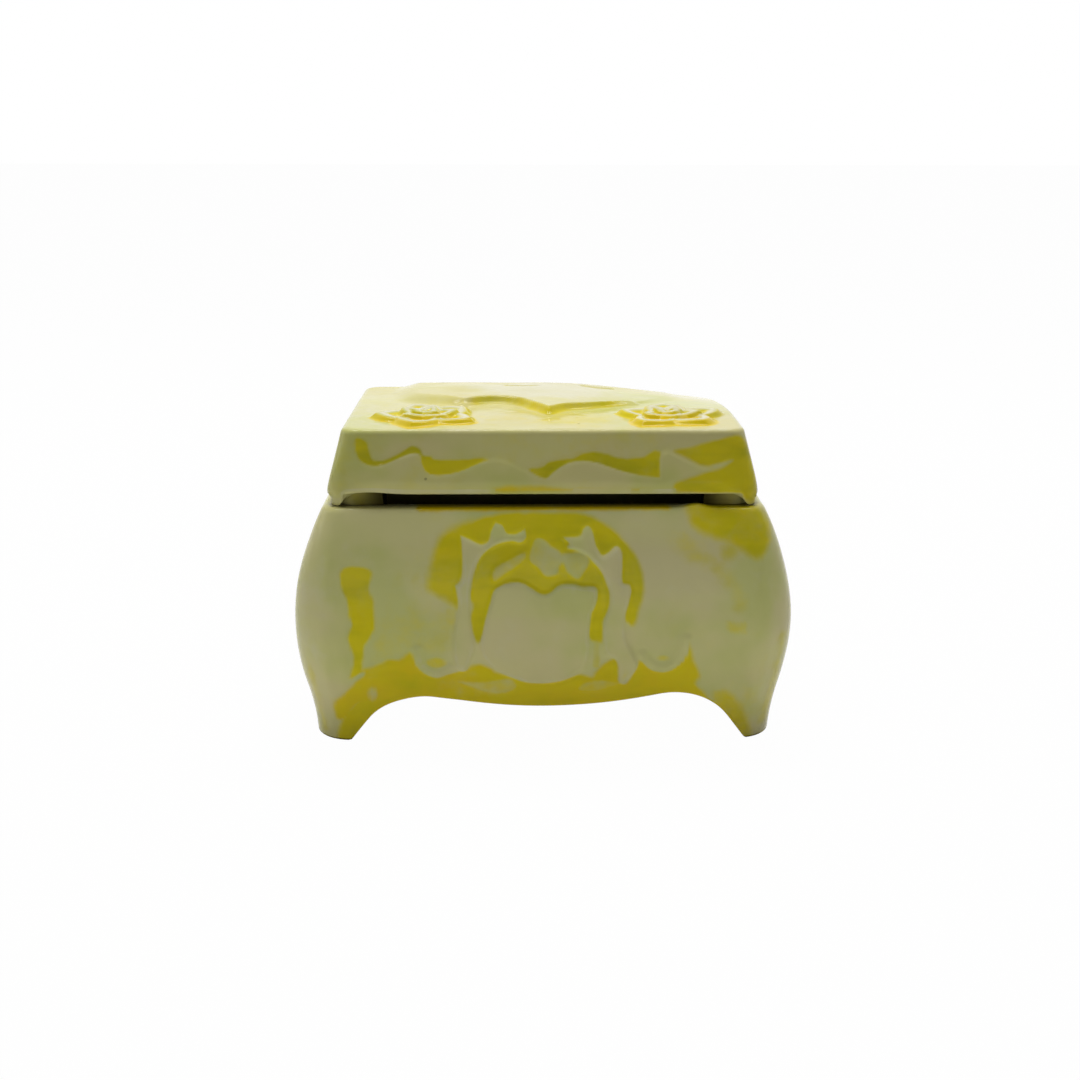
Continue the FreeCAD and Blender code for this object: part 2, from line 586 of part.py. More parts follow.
def corner_pieces(body, name, foot, half_x, half_y, width):
    """Four level L outlines in the corners of a rectangle, each with a round outer corner."""
    outline = Outline(body, name, "XY_Plane", foot)
    corner = "dims.belly_corner - " + flank_inset("dims.rim_height")
    x, y, t, r, leg = (outline.value(size)
                       for size in (half_x, half_y, width, corner, "dims.key_reach"))
    for sx, sy in ((1, 1), (-1, 1), (-1, -1), (1, -1)):
        points = [(x, y - r), (x, y - leg), (x - t, y - leg), (x - t, y - t), (x - leg, y - t),
                  (x - leg, y), (x - r, y)]
        points = [(sx * px, sy * py) for px, py in points]
        sides = [outline.line(*ends) for ends in zip(points, points[1:])]
        middle = math.degrees(math.atan2(sy, sx))
        turn = outline.arc((sx * (x - r), sy * (y - r)), r, middle - 45, middle + 45)
        from_x, from_y = (1, 2) if sx * sy > 0 else (2, 1)
        for this, after in zip(sides, sides[1:]):
            outline.rule("Coincident", this, 2, after, 1)
        outline.rule("Tangent", sides[0], 1, turn, from_x)
        outline.rule("Tangent", sides[-1], 2, turn, from_y)
        for index, side in enumerate(sides):
            outline.rule("Horizontal" if index % 2 else "Vertical", side)
        outline.size("Radius", turn, by=corner)
        outline.pin((sides[0], 1), x="%d * (%s)" % (sx, half_x))
        outline.pin((sides[1], 1), y="%d * (%s - dims.key_reach)" % (sy, half_y))
        outline.pin((sides[2], 1), x="%d * (%s - %s)" % (sx, half_x, width))
        outline.pin((sides[3], 1), y="%d * (%s - %s)" % (sy, half_y, width))
        outline.pin((sides[4], 1), x="%d * (%s - dims.key_reach)" % (sx, half_x))
        outline.pin((sides[5], 1), y="%d * (%s)" % (sy, half_y))
    return outline.sketch


def hang_keys(body):
    """Each key is a step that lies on the rim and a tongue that drops into the mouth."""
    mouth = [cavity_reach(half, "dims.rim_height") for half in BELLY_HALF]
    step = ["%s + dims.key_bearing" % half for half in mouth]
    tongue = ["%s - dims.key_play" % half for half in mouth]
    step_width = "(dims.key_width + dims.key_play + dims.key_bearing)"
    steps = corner_pieces(body, "step_plan", "dims.rim_height", *step, step_width)
    push(body, "key_steps", "Pad", steps, "dims.lid_gap + dims.key_root")
    foot = "dims.rim_height - dims.key_drop"
    tongues = corner_pieces(body, "tongue_plan", foot, *tongue, "dims.key_width")
    push(body, "key_tongues", "Pad", tongues, "dims.key_drop")


def make_lid(doc):
    body = doc.addObject("PartDesign::Body", "lid")
    body.Label = "lid"
    cast_lid(body)
    sag_corner(body)
    raise_wave(body)
    raise_bank(body)
    raise_rose(body, "left_rose", "-dims.rose_left")
    raise_rose(body, "right_rose", "dims.rose_right")
    hollow_lid(body)
    hang_keys(body)
    return body


# ---------------------------------------------------------------- part


def check(doc, nodes):
    for item in doc.Objects:
        if {"Invalid", "Error"} & set(item.State):
            raise RuntimeError("%s failed: %s" % (item.Name, item.State))
    for node in nodes:
        if node.Shape.isNull() or not node.Shape.isValid():
            raise RuntimeError("%s has no valid shape" % node.Label)


def main():
    doc = FreeCAD.newDocument("trinket_box")
    make_sheet(doc)
    nodes = [make_box(doc), make_lid(doc)]
    check(doc, nodes)
    os.makedirs("parts", exist_ok=True)
    for node in nodes:
        node.Shape.exportStep("parts/%s.step" % node.Label)
        print(node.Label, round(node.Shape.Volume), "mm3,", len(node.Shape.Faces), "faces")


if __name__ == "__main__":
    main()
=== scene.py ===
import math

import bpy
import numpy as np
from mathutils import Euler, Matrix, Vector


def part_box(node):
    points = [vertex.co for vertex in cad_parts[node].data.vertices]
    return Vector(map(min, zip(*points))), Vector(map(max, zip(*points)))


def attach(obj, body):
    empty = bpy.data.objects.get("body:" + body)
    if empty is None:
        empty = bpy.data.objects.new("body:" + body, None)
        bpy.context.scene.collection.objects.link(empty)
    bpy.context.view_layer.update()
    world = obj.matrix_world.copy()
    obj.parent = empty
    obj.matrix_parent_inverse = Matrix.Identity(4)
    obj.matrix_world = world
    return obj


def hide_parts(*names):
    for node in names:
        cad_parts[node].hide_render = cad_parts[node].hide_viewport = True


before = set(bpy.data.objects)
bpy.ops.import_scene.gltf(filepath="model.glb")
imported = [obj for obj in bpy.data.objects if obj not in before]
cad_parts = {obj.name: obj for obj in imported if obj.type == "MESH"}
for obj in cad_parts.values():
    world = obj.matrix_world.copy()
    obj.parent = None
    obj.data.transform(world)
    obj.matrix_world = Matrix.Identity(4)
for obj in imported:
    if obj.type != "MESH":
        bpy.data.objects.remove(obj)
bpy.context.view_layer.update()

# A footed trinket box in glazed earthenware, with a loose lid. Shapes are worked out in
# millimetres, in the frame's own axes, and become metres when a mesh is made.
mm = 0.001
tiny = 1e-9
farAway = 6.0          # distances from a line are worked out up to here
seamWidth = 1e-6       # metres, within which two points of a seam are one
boxHigh = np.array(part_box("box_body")[1]) / mm
lidHigh = np.array(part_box("lid")[1]) / mm


def softStep(share):
    share = np.clip(share, 0, 1)
    return share * share * (3 - 2 * share)


def curveThrough(points, closed=True, steps=6):
    # a smooth line through the points; a point given twice is a sharp corner
    points = np.array(points, float)
    count = len(points)
    last = count if closed else count - 1
    pieces = []
    for index in range(last):
        if closed:
            before, start, end, after = (points[(index + n) % count] for n in (-1, 0, 1, 2))
        else:
            before, start, end, after = (points[min(max(index + n, 0), count - 1)] for n in (-1, 0, 1, 2))
        if np.allclose(start, end):
            continue
        share = np.linspace(0, 1, steps, endpoint=False)[:, None]
        pieces.append(0.5 * (2 * start + (end - before) * share
                             + (2 * before - 5 * start + 4 * end - after) * share ** 2
                             + (3 * start - before - 3 * end + after) * share ** 3))
    if not closed:
        pieces.append(points[-1:])
    return np.concatenate(pieces)


def distanceTo(places, line, closed):
    # distance of each place from a line, negative inside a closed one, and farAway at the most
    result = np.full(len(places), farAway)
    near = np.all((places > line.min(0) - farAway) & (places < line.max(0) + farAway), axis=1)
    close = places[near]
    starts = line if closed else line[:-1]
    ends = np.roll(line, -1, axis=0) if closed else line[1:]
    nearest = np.full(len(close), farAway ** 2)
    inside = np.zeros(len(close), bool)
    for start, end in zip(starts, ends):
        along = end - start
        offset = close - start
        share = np.clip(offset @ along / max(along @ along, tiny), 0, 1)
        gap = offset - share[:, None] * along
        nearest = np.minimum(nearest, (gap * gap).sum(1))
        if closed and start[1] != end[1]:
            crosses = (start[1] > close[:, 1]) != (end[1] > close[:, 1])
            atX = start[0] + (close[:, 1] - start[1]) * along[0] / along[1]
            inside ^= crosses & (close[:, 0] < atX)
    gaps = np.sqrt(nearest)
    result[near] = np.where(inside, -gaps, gaps)
    return result


def shapeDistance(places, shape):
    # a shape is a closed outline, a stroke with a width, or a spot with two radii
    if "spot" in shape:
        return (ovalDistance(places, shape["spot"], shape["radii"]) - 1) * min(shape["radii"])
    if "stroke" in shape:
        line = curveThrough(shape["stroke"], closed=False)
        return distanceTo(places, line, False) - shape["width"] / 2
    return distanceTo(places, curveThrough(shape["outline"]), True)


def ovalDistance(places, centre, radii):
    # 0 in the middle of an oval and 1 on its line
    return np.hypot(*((places - np.array(centre)) / np.array(radii)).T)


def coverage(places, shape):
    # 1 inside a shape and 0 outside, with a soft edge centred on the outline
    return softStep(0.5 - shapeDistance(places, shape) / shape["soft"])


def ridge(distance, width):
    # 1 on a line and 0 from this far to either side of it
    return softStep(1 - np.abs(distance) / width)


def wavy(along, level, *waves):
    # a level with waves in it, each given by its height, its pace and where it starts
    return level + sum(height * np.sin(along * pace + start) for height, pace, start in waves)


def wobble(x, y, z, wave, seed):
    # slow unevenness of a hand-cast wall, about -1 to 1; uneven paces keep it from repeating
    a = np.sin(x / wave * 2.1 + z / wave * 1.3 + seed) * np.sin(y / wave * 1.7 - z / wave * 0.9 + 2 * seed)
    b = np.sin(x / wave * 0.9 - y / wave * 1.9 + 3 * seed) * np.sin(z / wave * 2.3 + x / wave * 0.7 - seed)
    return 0.6 * a + 0.4 * b


ornament = {
    "dome": 0.18,          # how much lower a raised shape is along its outline
    "domeWidth": 2.2,
    "fadeWidth": 4.0,
    "ochre": 0.15,         # in a pool that names none
    "lipInside": 0.4,      # how far inside an outline the glaze is thinnest
    "lipWidth": 0.5,
    "thinnest": -1.0,
    "thickest": 1.1,
}

# a long side of the box, with x to the right and z up, as each is seen from outside
longSide = {
    "raised": {
        "leftSpray": {"rise": 0.75, "soft": 1.0, "outline": [
            (-14.6, 38.8), (-14.6, 38.8), (-12.9, 38.2), (-11.2, 37.4), (-9.8, 37.9), (-9.3, 39.6),
            (-8.6, 41.0), (-8.6, 41.0), (-7.3, 40.5), (-6.6, 39.3), (-5.0, 39.2), (-3.4, 40.0),
            (-3.4, 40.0), (-3.2, 38.6), (-4.2, 37.8), (-6.0, 38.0), (-8.9, 37.2), (-11.2, 35.4),
            (-12.4, 32.8), (-12.9, 30.4), (-13.1, 26.0), (-12.8, 22.5), (-12.3, 20.0), (-13.0, 17.2),
            (-14.1, 14.8), (-15.7, 15.5), (-16.1, 19.3), (-15.7, 23.0), (-15.1, 26.9), (-15.5, 30.4),
            (-15.5, 30.4), (-14.5, 31.6), (-14.3, 34.6)]},
        "rightSpray": {"rise": 0.75, "soft": 1.0, "outline": [
            (3.2, 38.6), (3.2, 38.6), (6.2, 38.7), (6.8, 39.8), (7.6, 40.4), (8.4, 39.6), (9.0, 37.4),
            (10.0, 35.6), (11.2, 35.9), (12.6, 37.0), (13.4, 36.2), (13.6, 34.0), (13.6, 31.0),
            (14.9, 30.6), (14.9, 30.6), (15.2, 29.3), (14.7, 27.2), (14.2, 24.9), (14.4, 21.0),
            (15.5, 18.5), (16.6, 15.8), (15.6, 13.6), (14.4, 11.9), (13.2, 12.6), (13.3, 15.0),
            (12.6, 17.0), (11.2, 17.8), (10.5, 19.5), (10.3, 22.0), (10.4, 24.0), (11.3, 26.6),
            (11.5, 29.0), (10.8, 31.2), (9.8, 33.2), (8.4, 34.7), (7.2, 35.8), (5.4, 36.5), (4.1, 36.8),
            (4.4, 37.6)]},
        "shield": {"rise": 0.65, "soft": 1.2, "outline": [
            (-10.9, 21.9), (-10.2, 25.0), (-9.5, 27.5), (-8.8, 29.6), (-7.5, 30.5), (-5.8, 30.9),
            (-4.0, 30.9), (-2.2, 29.9), (-1.0, 29.2), (0.1, 28.9), (1.2, 29.3), (2.6, 30.4), (4.6, 30.6),
            (6.8, 30.2), (8.9, 30.1), (9.3, 28.6), (8.9, 26.8), (8.2, 25.3), (7.9, 22.0), (8.0, 18.6),
            (7.4, 15.9), (5.8, 13.9), (3.0, 12.6), (0.0, 12.1), (-3.0, 12.3), (-6.2, 13.5),
            (-9.0, 15.2), (-10.8, 17.4), (-11.4, 19.6)]},
        "innerLeaf": {"rise": 0.4, "soft": 1.4, "outline": [
            (-9.1, 31.9), (-8.7, 33.3), (-7.4, 34.2), (-5.6, 35.3), (-3.0, 36.3), (-3.0, 36.3),
            (-3.4, 34.9), (-4.6, 33.8), (-6.8, 32.5), (-8.6, 31.1)]},
        "boss": {"rise": 0.4, "soft": 1.7, "outline": [
            (-2.4, 36.6), (-1.6, 38.4), (0.1, 38.2), (1.2, 37.0), (2.6, 36.2), (3.4, 34.8),
            (2.6, 33.6), (2.2, 32.4), (0.3, 32.0), (-1.0, 33.4), (-2.6, 34.6)]},
        "rightLeaf": {"rise": 0.4, "soft": 1.6, "outline": [
            (3.2, 35.6), (4.8, 36.0), (6.9, 36.2), (7.9, 34.6), (7.2, 33.0), (6.0, 31.6), (4.4, 32.4),
            (3.6, 33.6)]},
        "leftVolute": {"rise": 0.45, "soft": 1.3, "width": 1.5, "stroke": [
            (-22.6, 18.8), (-22.2, 16.6), (-21.0, 14.9), (-19.3, 14.1), (-17.4, 14.7), (-14.8, 15.6)]},
        "rightVolute": {"rise": 0.45, "soft": 1.3, "width": 1.6, "stroke": [
            (25.0, 20.6), (24.4, 17.6), (23.0, 15.8), (21.2, 15.0), (19.2, 15.6), (17.4, 17.6)]},
        "leftTail": {"rise": 0.35, "soft": 1.6, "outline": [
            (-15.4, 12.4), (-15.4, 12.4), (-11.4, 12.3), (-8.7, 12.7), (-6.0, 12.8), (-4.9, 11.2),
            (-6.8, 10.1), (-9.0, 9.9), (-11.4, 10.6), (-13.3, 11.4)]},
        "rightTail": {"rise": 0.35, "soft": 1.6, "outline": [
            (6.2, 10.4), (6.8, 11.8), (9.7, 12.7), (14.8, 12.0), (14.8, 12.0), (11.5, 10.9), (9.2, 10.3)]},
        "leftPost": {"rise": 0.35, "soft": 2.2, "outline": [
            (-38.0, 35.0), (-36.0, 30.0), (-35.0, 25.0), (-34.9, 20.0), (-34.4, 16.0), (-35.6, 12.0),
            (-38.4, 8.0), (-40.0, 16.0), (-40.0, 26.0)]},
        "rightPost": {"rise": 0.35, "soft": 2.2, "outline": [
            (38.6, 35.0), (36.6, 30.0), (36.0, 25.0), (35.8, 20.0), (35.6, 16.0), (36.4, 12.0),
            (38.6, 8.0), (40.4, 16.0), (40.4, 26.0)]},
    },
    "yellow": {
        "crown": {"level": 1.1, "soft": 1.8, "outline": [
            (-12.6, 27.0), (-14.6, 29.0), (-16.4, 32.0), (-16.6, 36.0), (-15.6, 39.0), (-12.3, 40.9),
            (-9.3, 41.9), (-5.0, 42.4), (4.2, 42.4), (8.1, 41.9), (11.4, 40.2), (15.3, 36.6),
            (17.2, 33.1), (17.5, 29.0), (16.6, 25.6), (15.6, 23.2), (14.4, 23.8), (12.0, 23.6),
            (10.9, 20.6), (9.2, 20.0), (4.0, 22.0), (-6.0, 22.0), (-11.6, 20.0), (-13.0, 23.8)]},
        "crownSmear": {"level": 1.15, "soft": 3.6, "outline": [
            (-14.0, 26.4), (-17.0, 27.6), (-20.6, 29.6), (-20.4, 33.0), (-19.0, 36.6), (-17.0, 39.4),
            (-12.0, 40.4), (-12.4, 33.0)]},
        "apron": {"level": 1.0, "soft": 1.7, "ochre": 0.5, "outline": [
            (-34.4, 11.6), (-33.0, 13.8), (-32.5, 15.0), (-30.2, 15.7), (-27.7, 16.9), (-25.9, 16.8),
            (-24.4, 18.0), (-23.0, 18.4), (-21.0, 15.0), (-14.8, 15.0), (-13.2, 15.6), (-11.2, 15.9),
            (-9.4, 15.0), (-7.0, 14.0), (5.0, 14.0), (8.4, 13.2), (9.3, 14.4), (11.0, 16.1),
            (12.9, 16.9), (13.4, 14.0), (14.4, 11.6), (15.6, 13.0), (16.6, 15.8), (17.7, 16.9),
            (21.0, 15.2), (24.6, 18.0), (25.2, 20.4), (26.1, 18.6), (26.5, 17.0), (27.5, 14.7),
            (27.9, 13.2), (27.2, 11.6), (27.6, 7.0), (0.0, 3.0), (-31.0, 6.0), (-33.1, 8.0),
            (-34.7, 6.3), (-36.1, 4.5), (-37.6, 4.3), (-38.2, 5.9), (-37.9, 7.8), (-36.4, 9.6)]},
        "leftStripe": {"level": 1.3, "soft": 1.5, "ochre": 0.15, "outline": [
            (-35.1, 33.4), (-30.4, 33.1), (-30.7, 29.8), (-29.9, 27.6), (-30.0, 23.4), (-30.9, 21.2),
            (-31.9, 19.4), (-32.3, 16.4), (-32.8, 13.8), (-34.7, 12.8), (-33.9, 15.8), (-33.7, 17.8),
            (-34.4, 20.0), (-34.5, 21.8), (-33.8, 23.6), (-34.4, 25.4), (-34.6, 28.0), (-35.5, 30.0)]},
        "leftPool": {"level": 0.75, "soft": 1.0, "ochre": 0.3, "spot": (-19.3, 16.2), "radii": (2.0, 1.1)},
        "rightPool": {"level": 0.6, "soft": 0.8, "spot": (21.0, 17.0), "radii": (1.1, 0.6)},
        "rightBand": {"level": 0.5, "soft": 1.0, "width": 1.4, "stroke": [
            (10.4, 24.4), (9.6, 22.0), (9.3, 19.0), (9.3, 15.6)]},
        "rimRight": {"level": 0.85, "soft": 2.6, "ochre": 0.3, "outline": [
            (24.8, 44.2), (28.5, 44.2), (36.3, 44.0), (39.4, 42.0), (40.2, 39.0), (39.4, 35.6),
            (37.0, 34.8), (34.6, 36.4), (32.0, 37.4), (29.5, 38.4), (27.0, 39.6), (25.4, 41.4)]},
        "rimSpot": {"level": 0.5, "soft": 2.4, "spot": (32.4, 36.4), "radii": (1.6, 1.7)},
        "rimLine": {"level": 0.85, "soft": 0.8, "ochre": 0.9, "width": 0.8, "stroke": [
            (-22.0, 43.1), (-8.0, 43.1), (8.0, 43.1), (22.0, 43.1)]},
        "diagonal": {"level": 0.3, "soft": 3.0, "width": 3.0, "stroke": [
            (24.7, 37.1), (28.6, 34.2), (31.6, 31.9), (34.0, 29.5), (34.4, 26.5)]},
        # yellow and ochre over the feet's inner edges: partly glaze, partly painted shade
        "leftFootInsideShade": {"level": 1.05, "soft": 2.2, "ochre": 0.3, "outline": [
            (-36.8, -1.0), (-31.5, -1.0), (-28.5, 4.5), (-25.5, 8.5), (-31.0, 9.4), (-35.2, 6.6),
            (-37.6, 2.0)]},
        "rightFootInsideShade": {"level": 0.55, "soft": 1.8, "ochre": 0.4, "outline": [
            (30.5, 9.5), (32.0, 5.5), (35.5, 0.5), (38.6, -1.0), (37.0, 4.6), (33.4, 10.0)]},
        "block": {"level": 0.5, "soft": 1.2, "outline": [
            (32.3, 24.0), (32.3, 24.0), (35.8, 24.0), (35.8, 24.0), (35.9, 21.6), (35.9, 21.6),
            (32.6, 22.0)]},
        "leftFootEdge": {"level": 0.5, "soft": 2.6, "width": 1.6, "stroke": [
            (-42.4, 16.0), (-41.4, 9.0), (-40.0, 2.0)]},
        "rightFootEdge": {"level": 0.5, "soft": 3.0, "width": 1.6, "stroke": [
            (43.0, 20.0), (41.8, 9.0), (40.4, 3.0)]},
        "leftTint": {"level": 0.3, "soft": 7.0, "outline": [
            (-29.5, 33.0), (-20.0, 36.0), (-16.0, 30.0), (-15.5, 18.0), (-24.0, 17.0), (-31.0, 16.0)]},
        "stemTint": {"level": 0.4, "soft": 1.6, "outline": [
            (-17.6, 26.4), (-15.6, 26.4), (-15.6, 23.6), (-17.4, 23.4)]},
    },
    "pale": {
        "footStreak": {"level": 0.7, "soft": 0.9, "width": 0.9, "stroke": [(-35.2, 12.3), (-32.4, 13.9)]},
        "footPatch": {"level": 0.7, "soft": 1.2, "spot": (-30.8, 9.6), "radii": (1.0, 1.6)},
    },
    "wiped": {"leftSpray": 1.0, "rightSpray": 1.0, "shield": 1.0, "innerLeaf": 0.45, "boss": 0.6,
              "rightLeaf": 0.6, "leftVolute": 0.9, "rightVolute": 0.9, "leftTail": 0.4, "rightTail": 0.4},
    "unwiped": (),         # yellow that also lies over what stands proud
    "edge": 0.8,
    "lip": 0.22,
    "tint": 0.0,
    "reach": 60.0,
}


def fadeOf(side, places):
    return softStep((side["reach"] - np.abs(places[:, 0])) / ornament["fadeWidth"])


def reliefOf(side, places):
    # height of the raised shapes, each a little domed towards its middle
    height = np.zeros(len(places))
    for shape in side["raised"].values():
        inward = -shapeDistance(places, shape)
        dome = 1 - ornament["dome"] * (1 - softStep(inward / ornament["domeWidth"]))
        height = np.maximum(height, shape["rise"] * dome * softStep(0.5 + inward / shape["soft"]))
    return height * fadeOf(side, places)


def poolOver(share, ochre, places, shape):
    # a pool of yellow shows where it is thicker than what is there already
    pool = shape["level"] * coverage(places, shape)
    ochre = np.where(pool > share, shape.get("ochre", ornament["ochre"]), ochre)
    return np.maximum(share, pool), ochre


def glazeOf(side, places):
    # share of yellow, wiped off what stands proud and negative where the glaze is thin and pale,
    # and the share of ochre in it
    share, ochre = np.full(len(places), side["tint"]), np.full(len(places), ornament["ochre"])
    fade = fadeOf(side, places)
    for shape in side["yellow"].values():
        share, ochre = poolOver(share, ochre, places, shape)
    for name, wiped in side["wiped"].items():
        away = shapeDistance(places, side["raised"][name])
        lip = ridge(away + ornament["lipInside"], ornament["lipWidth"])
        share = share * (1 - wiped * softStep(0.5 - away / side["edge"]) * fade)
        share = share - wiped ** 3 * side["lip"] * lip * fade
    for shape in side["pale"].values():
        share = share * (1 - shape["level"] * coverage(places, shape))
    for name in side["unwiped"]:
        share, ochre = poolOver(share, ochre, places, side["yellow"][name])
    return np.clip(share, ornament["thinnest"], ornament["thickest"]), ochre


def facingOf(outwardY, least):
    # -1 where a wall belongs to the front, 1 where it belongs to the back, 0 where to an end
    return np.sign(outwardY) * (np.abs(outwardY) > least)


def sidePlaces(facing, xy, z):
    # seen from outside, the back has its left and right the other way round
    return np.column_stack([-facing * xy[:, 0], np.broadcast_to(z, len(xy))])


def newGrid(name, cellsX, cellsY):
    bpy.ops.object.select_all(action="DESELECT")
    bpy.ops.mesh.primitive_grid_add(x_subdivisions=cellsX, y_subdivisions=cellsY, size=2)
    piece = bpy.context.object
    piece.name = piece.data.name = name
    return piece


def pointsOf(piece):
    points = np.zeros(len(piece.data.vertices) * 3)
    piece.data.vertices.foreach_get("co", points)
    return points.reshape(-1, 3)


def movePoints(piece, points, layers):
    # every point to its place, with its shares of yellow, ochre, and bare clay with painted shade, for the
    # material
    piece.data.vertices.foreach_set("co", (points * mm).ravel())
    for label, values in layers.items():
        layer = piece.data.attributes.new(label, "FLOAT", "POINT")
        layer.data.foreach_set("value", values.astype(np.float32))
    piece.data.update()


def selectOpenEdges():
    bpy.ops.mesh.select_all(action="DESELECT")
    bpy.ops.mesh.select_mode(type="EDGE")
    bpy.ops.mesh.select_non_manifold()


def faceOutwards():
    bpy.ops.mesh.select_all(action="SELECT")
    bpy.ops.mesh.normals_make_consistent(inside=False)
    bpy.ops.object.mode_set(mode="OBJECT")
    bpy.ops.object.shade_smooth()


def sheetOfRows(name, rows, layers):
    # a grid whose points move to their rows; the two seams meet, and both ends are filled
    rowCount, columnCount = rows.shape[:2]
    piece = newGrid(name, columnCount, rowCount - 1)
    points = pointsOf(piece)
    column = np.rint((points[:, 0] + 1) / 2 * columnCount).astype(int) % columnCount
    row = np.rint((points[:, 1] + 1) / 2 * (rowCount - 1)).astype(int)
    movePoints(piece, rows[row, column], {label: values[row, column] for label, values in layers.items()})
    bpy.ops.object.mode_set(mode="EDIT")
    bpy.ops.mesh.select_all(action="SELECT")
    bpy.ops.mesh.remove_doubles(threshold=seamWidth)
    selectOpenEdges()
    bpy.ops.mesh.fill_holes(sides=0)
    faceOutwards()
    return piece


def roundBy(start, corner, end, count):
    # points between start and end on the arc that bends round a corner
    shares = [(n + 1) / (count + 1) for n in range(count)]
    return [start * (1 - s) ** 2 + corner * 2 * s * (1 - s) + end * s ** 2 for s in shares]


boxShape = {
    "ornamentRise": 1.1,
    "corner": 9.5,
    "bellyHeight": 21.0,
    "kneeHeight": 9.5,
    "flankRadius": 46.0,
    "wall": 3.2,
    "rimRound": 0.9,
    "mouthRound": 0.5,
    "floorTop": 13.8,
    "floorCove": 2.8,
    "floorUnderside": 10.6,
    "ceilingCove": 1.6,
    "apronWall": 4.4,
    "hollowCorner": 7.5,
    "soleReach": 5.7,
    "footSlope": 54.0,
    "archRadius": 12.0,
    "archHeight": 9.7,
    "frontLobe": 6.9,
    "endLobe": 8.6,
    "footRound": 0.55,
    "innerRound": 0.5,
    "wobble": 0.10,
    "wobbleWave": 7.0,
    "endFuller": 0.4,
    "fullerReach": 17.0,
    "frontDepth": 12.0,         # over this depth the feet change from the front's to the back's
    "footStart": 14.0,
    "footFade": 12.0,
    "leftFootWider": 1.2,
    "rightFootNarrower": 0.5,
    "leftArchLower": 0.8,
    "leftArchAt": -25.0,
    "leftArchReach": 11.0,
    "rimFade": 1.6,             # the ornament fades this far below the rim
    "apronFade": 1.5,           # and this far above the apron's edge
    "fineHalf": 20.0,
    "frontSteps": (0.36, 0.62),
    "backSteps": (0.45, 0.80),
    "endStep": 1.0,
    "cornerSteps": 20,
    "flankRows": 108,
    "cavityRows": 20,
    "coveRows": 8,
    "floorRings": (0.06, 0.25, 0.45, 0.65, 0.85),
    "ceilingRings": (1, 0.8, 0.55, 0.3, 0.07),
}
boxHalf = np.array([boxHigh[0], boxHigh[1] - boxShape["ornamentRise"]])
rimHeight = boxHigh[2]


def flankInset(z):
    radius = boxShape["flankRadius"]
    drop = boxShape["bellyHeight"] - boxShape["kneeHeight"]
    reach = math.sqrt(radius ** 2 - drop ** 2)
    rise = z - boxShape["bellyHeight"]
    upper = radius - np.sqrt(radius ** 2 - rise ** 2)
    lower = radius - 2 * reach + np.sqrt(radius ** 2 - np.minimum(rise + 2 * drop, radius) ** 2)
    return np.where(z < boxShape["kneeHeight"], lower, upper)


def cavityInset(z):
    radius = boxShape["flankRadius"] - boxShape["wall"]
    return radius - np.sqrt(radius ** 2 - (z - boxShape["bellyHeight"]) ** 2)


soleInset = float(flankInset(0.0))
rimInset = float(flankInset(rimHeight))
outerCore = boxHalf - boxShape["corner"]
cavityCore = outerCore - boxShape["wall"]
hollowCore = boxHalf - soleInset - boxShape["apronWall"] - boxShape["hollowCorner"]


def scallop(place, halfSize, lobe):
    # height of the apron's lower edge at a distance from its middle: a lobe, an arch and a foot,
    # each running into the next without a corner
    slope = math.radians(boxShape["footSlope"])
    radius = boxShape["archRadius"]
    archZ = boxShape["archHeight"] - radius
    footX = halfSize - soleInset - boxShape["soleReach"]
    turnX, turnZ = radius * math.sin(slope), archZ + radius * math.cos(slope)
    archX = footX - turnZ / math.tan(slope) - turnX
    drop = lobe - archZ
    lobeRadius = (archX ** 2 + drop ** 2 - radius ** 2) / (2 * (radius - drop))
    lobeZ = lobe + lobeRadius
    joint = archX * lobeRadius / (lobeRadius + radius)
    place = np.abs(place)
    foot = (footX - place) * math.tan(slope)
    arch = archZ + np.sqrt(np.maximum(radius ** 2 - (place - archX) ** 2, 0))
    middle = lobeZ - np.sqrt(np.maximum(lobeRadius ** 2 - place ** 2, 0))
    edge = np.where(place < joint, middle, np.where(place < archX + turnX, arch, foot))
    return np.maximum(edge, 0)


def lowerEdge(xy):
    # the front's left foot came out of the mould wider than its right one, with a lower arch
    x, y = xy.T
    inFront = softStep(-y / boxShape["frontDepth"])
    left, right = (inFront * softStep((away - boxShape["footStart"]) / boxShape["footFade"])
                   for away in (-x, x))
    place = np.abs(x) + boxShape["leftFootWider"] * left - boxShape["rightFootNarrower"] * right
    front = scallop(place, boxHalf[0], boxShape["frontLobe"])
    lower = boxShape["leftArchLower"] * ridge(x - boxShape["leftArchAt"], boxShape["leftArchReach"]) * inFront
    front = np.where(front > 0, np.maximum(front - lower, 0), 0)
    return np.maximum(front, scallop(y, boxHalf[1], boxShape["endLobe"]))


def spread(half, fineHalf, fine, coarse):
    # places along a straight side, closer together over its middle
    inner = np.linspace(-fineHalf, fineHalf, int(2 * fineHalf / fine) + 1)
    outer = np.linspace(fineHalf, half, int((half - fineHalf) / coarse) + 1)[1:]
    return np.concatenate([-outer[::-1], inner, outer]) / half


def boxColumns():
    # each column's place on the core rectangle, -1 to 1, and its outward direction
    front = spread(outerCore[0], boxShape["fineHalf"], *boxShape["frontSteps"])
    back = spread(outerCore[0], boxShape["fineHalf"], *boxShape["backSteps"])[::-1]
    end = np.linspace(-1, 1, int(2 * outerCore[1] / boxShape["endStep"]) + 1)
    turns = np.radians(np.linspace(0, 90, boxShape["cornerSteps"] + 1)[1:-1])
    sides = [
        ([(place, -1) for place in front], -90),
        ([(1, place) for place in end], 0),
        ([(place, 1) for place in back], 90),
        ([(-1, place) for place in end[::-1]], 180),
    ]
    columns = []
    for cores, facing in sides:
        facing = math.radians(facing)
        columns += [(*core, math.cos(facing), math.sin(facing)) for core in cores]
        columns += [(*cores[-1], math.cos(facing + turn), math.sin(facing + turn)) for turn in turns]
    return np.array(columns)


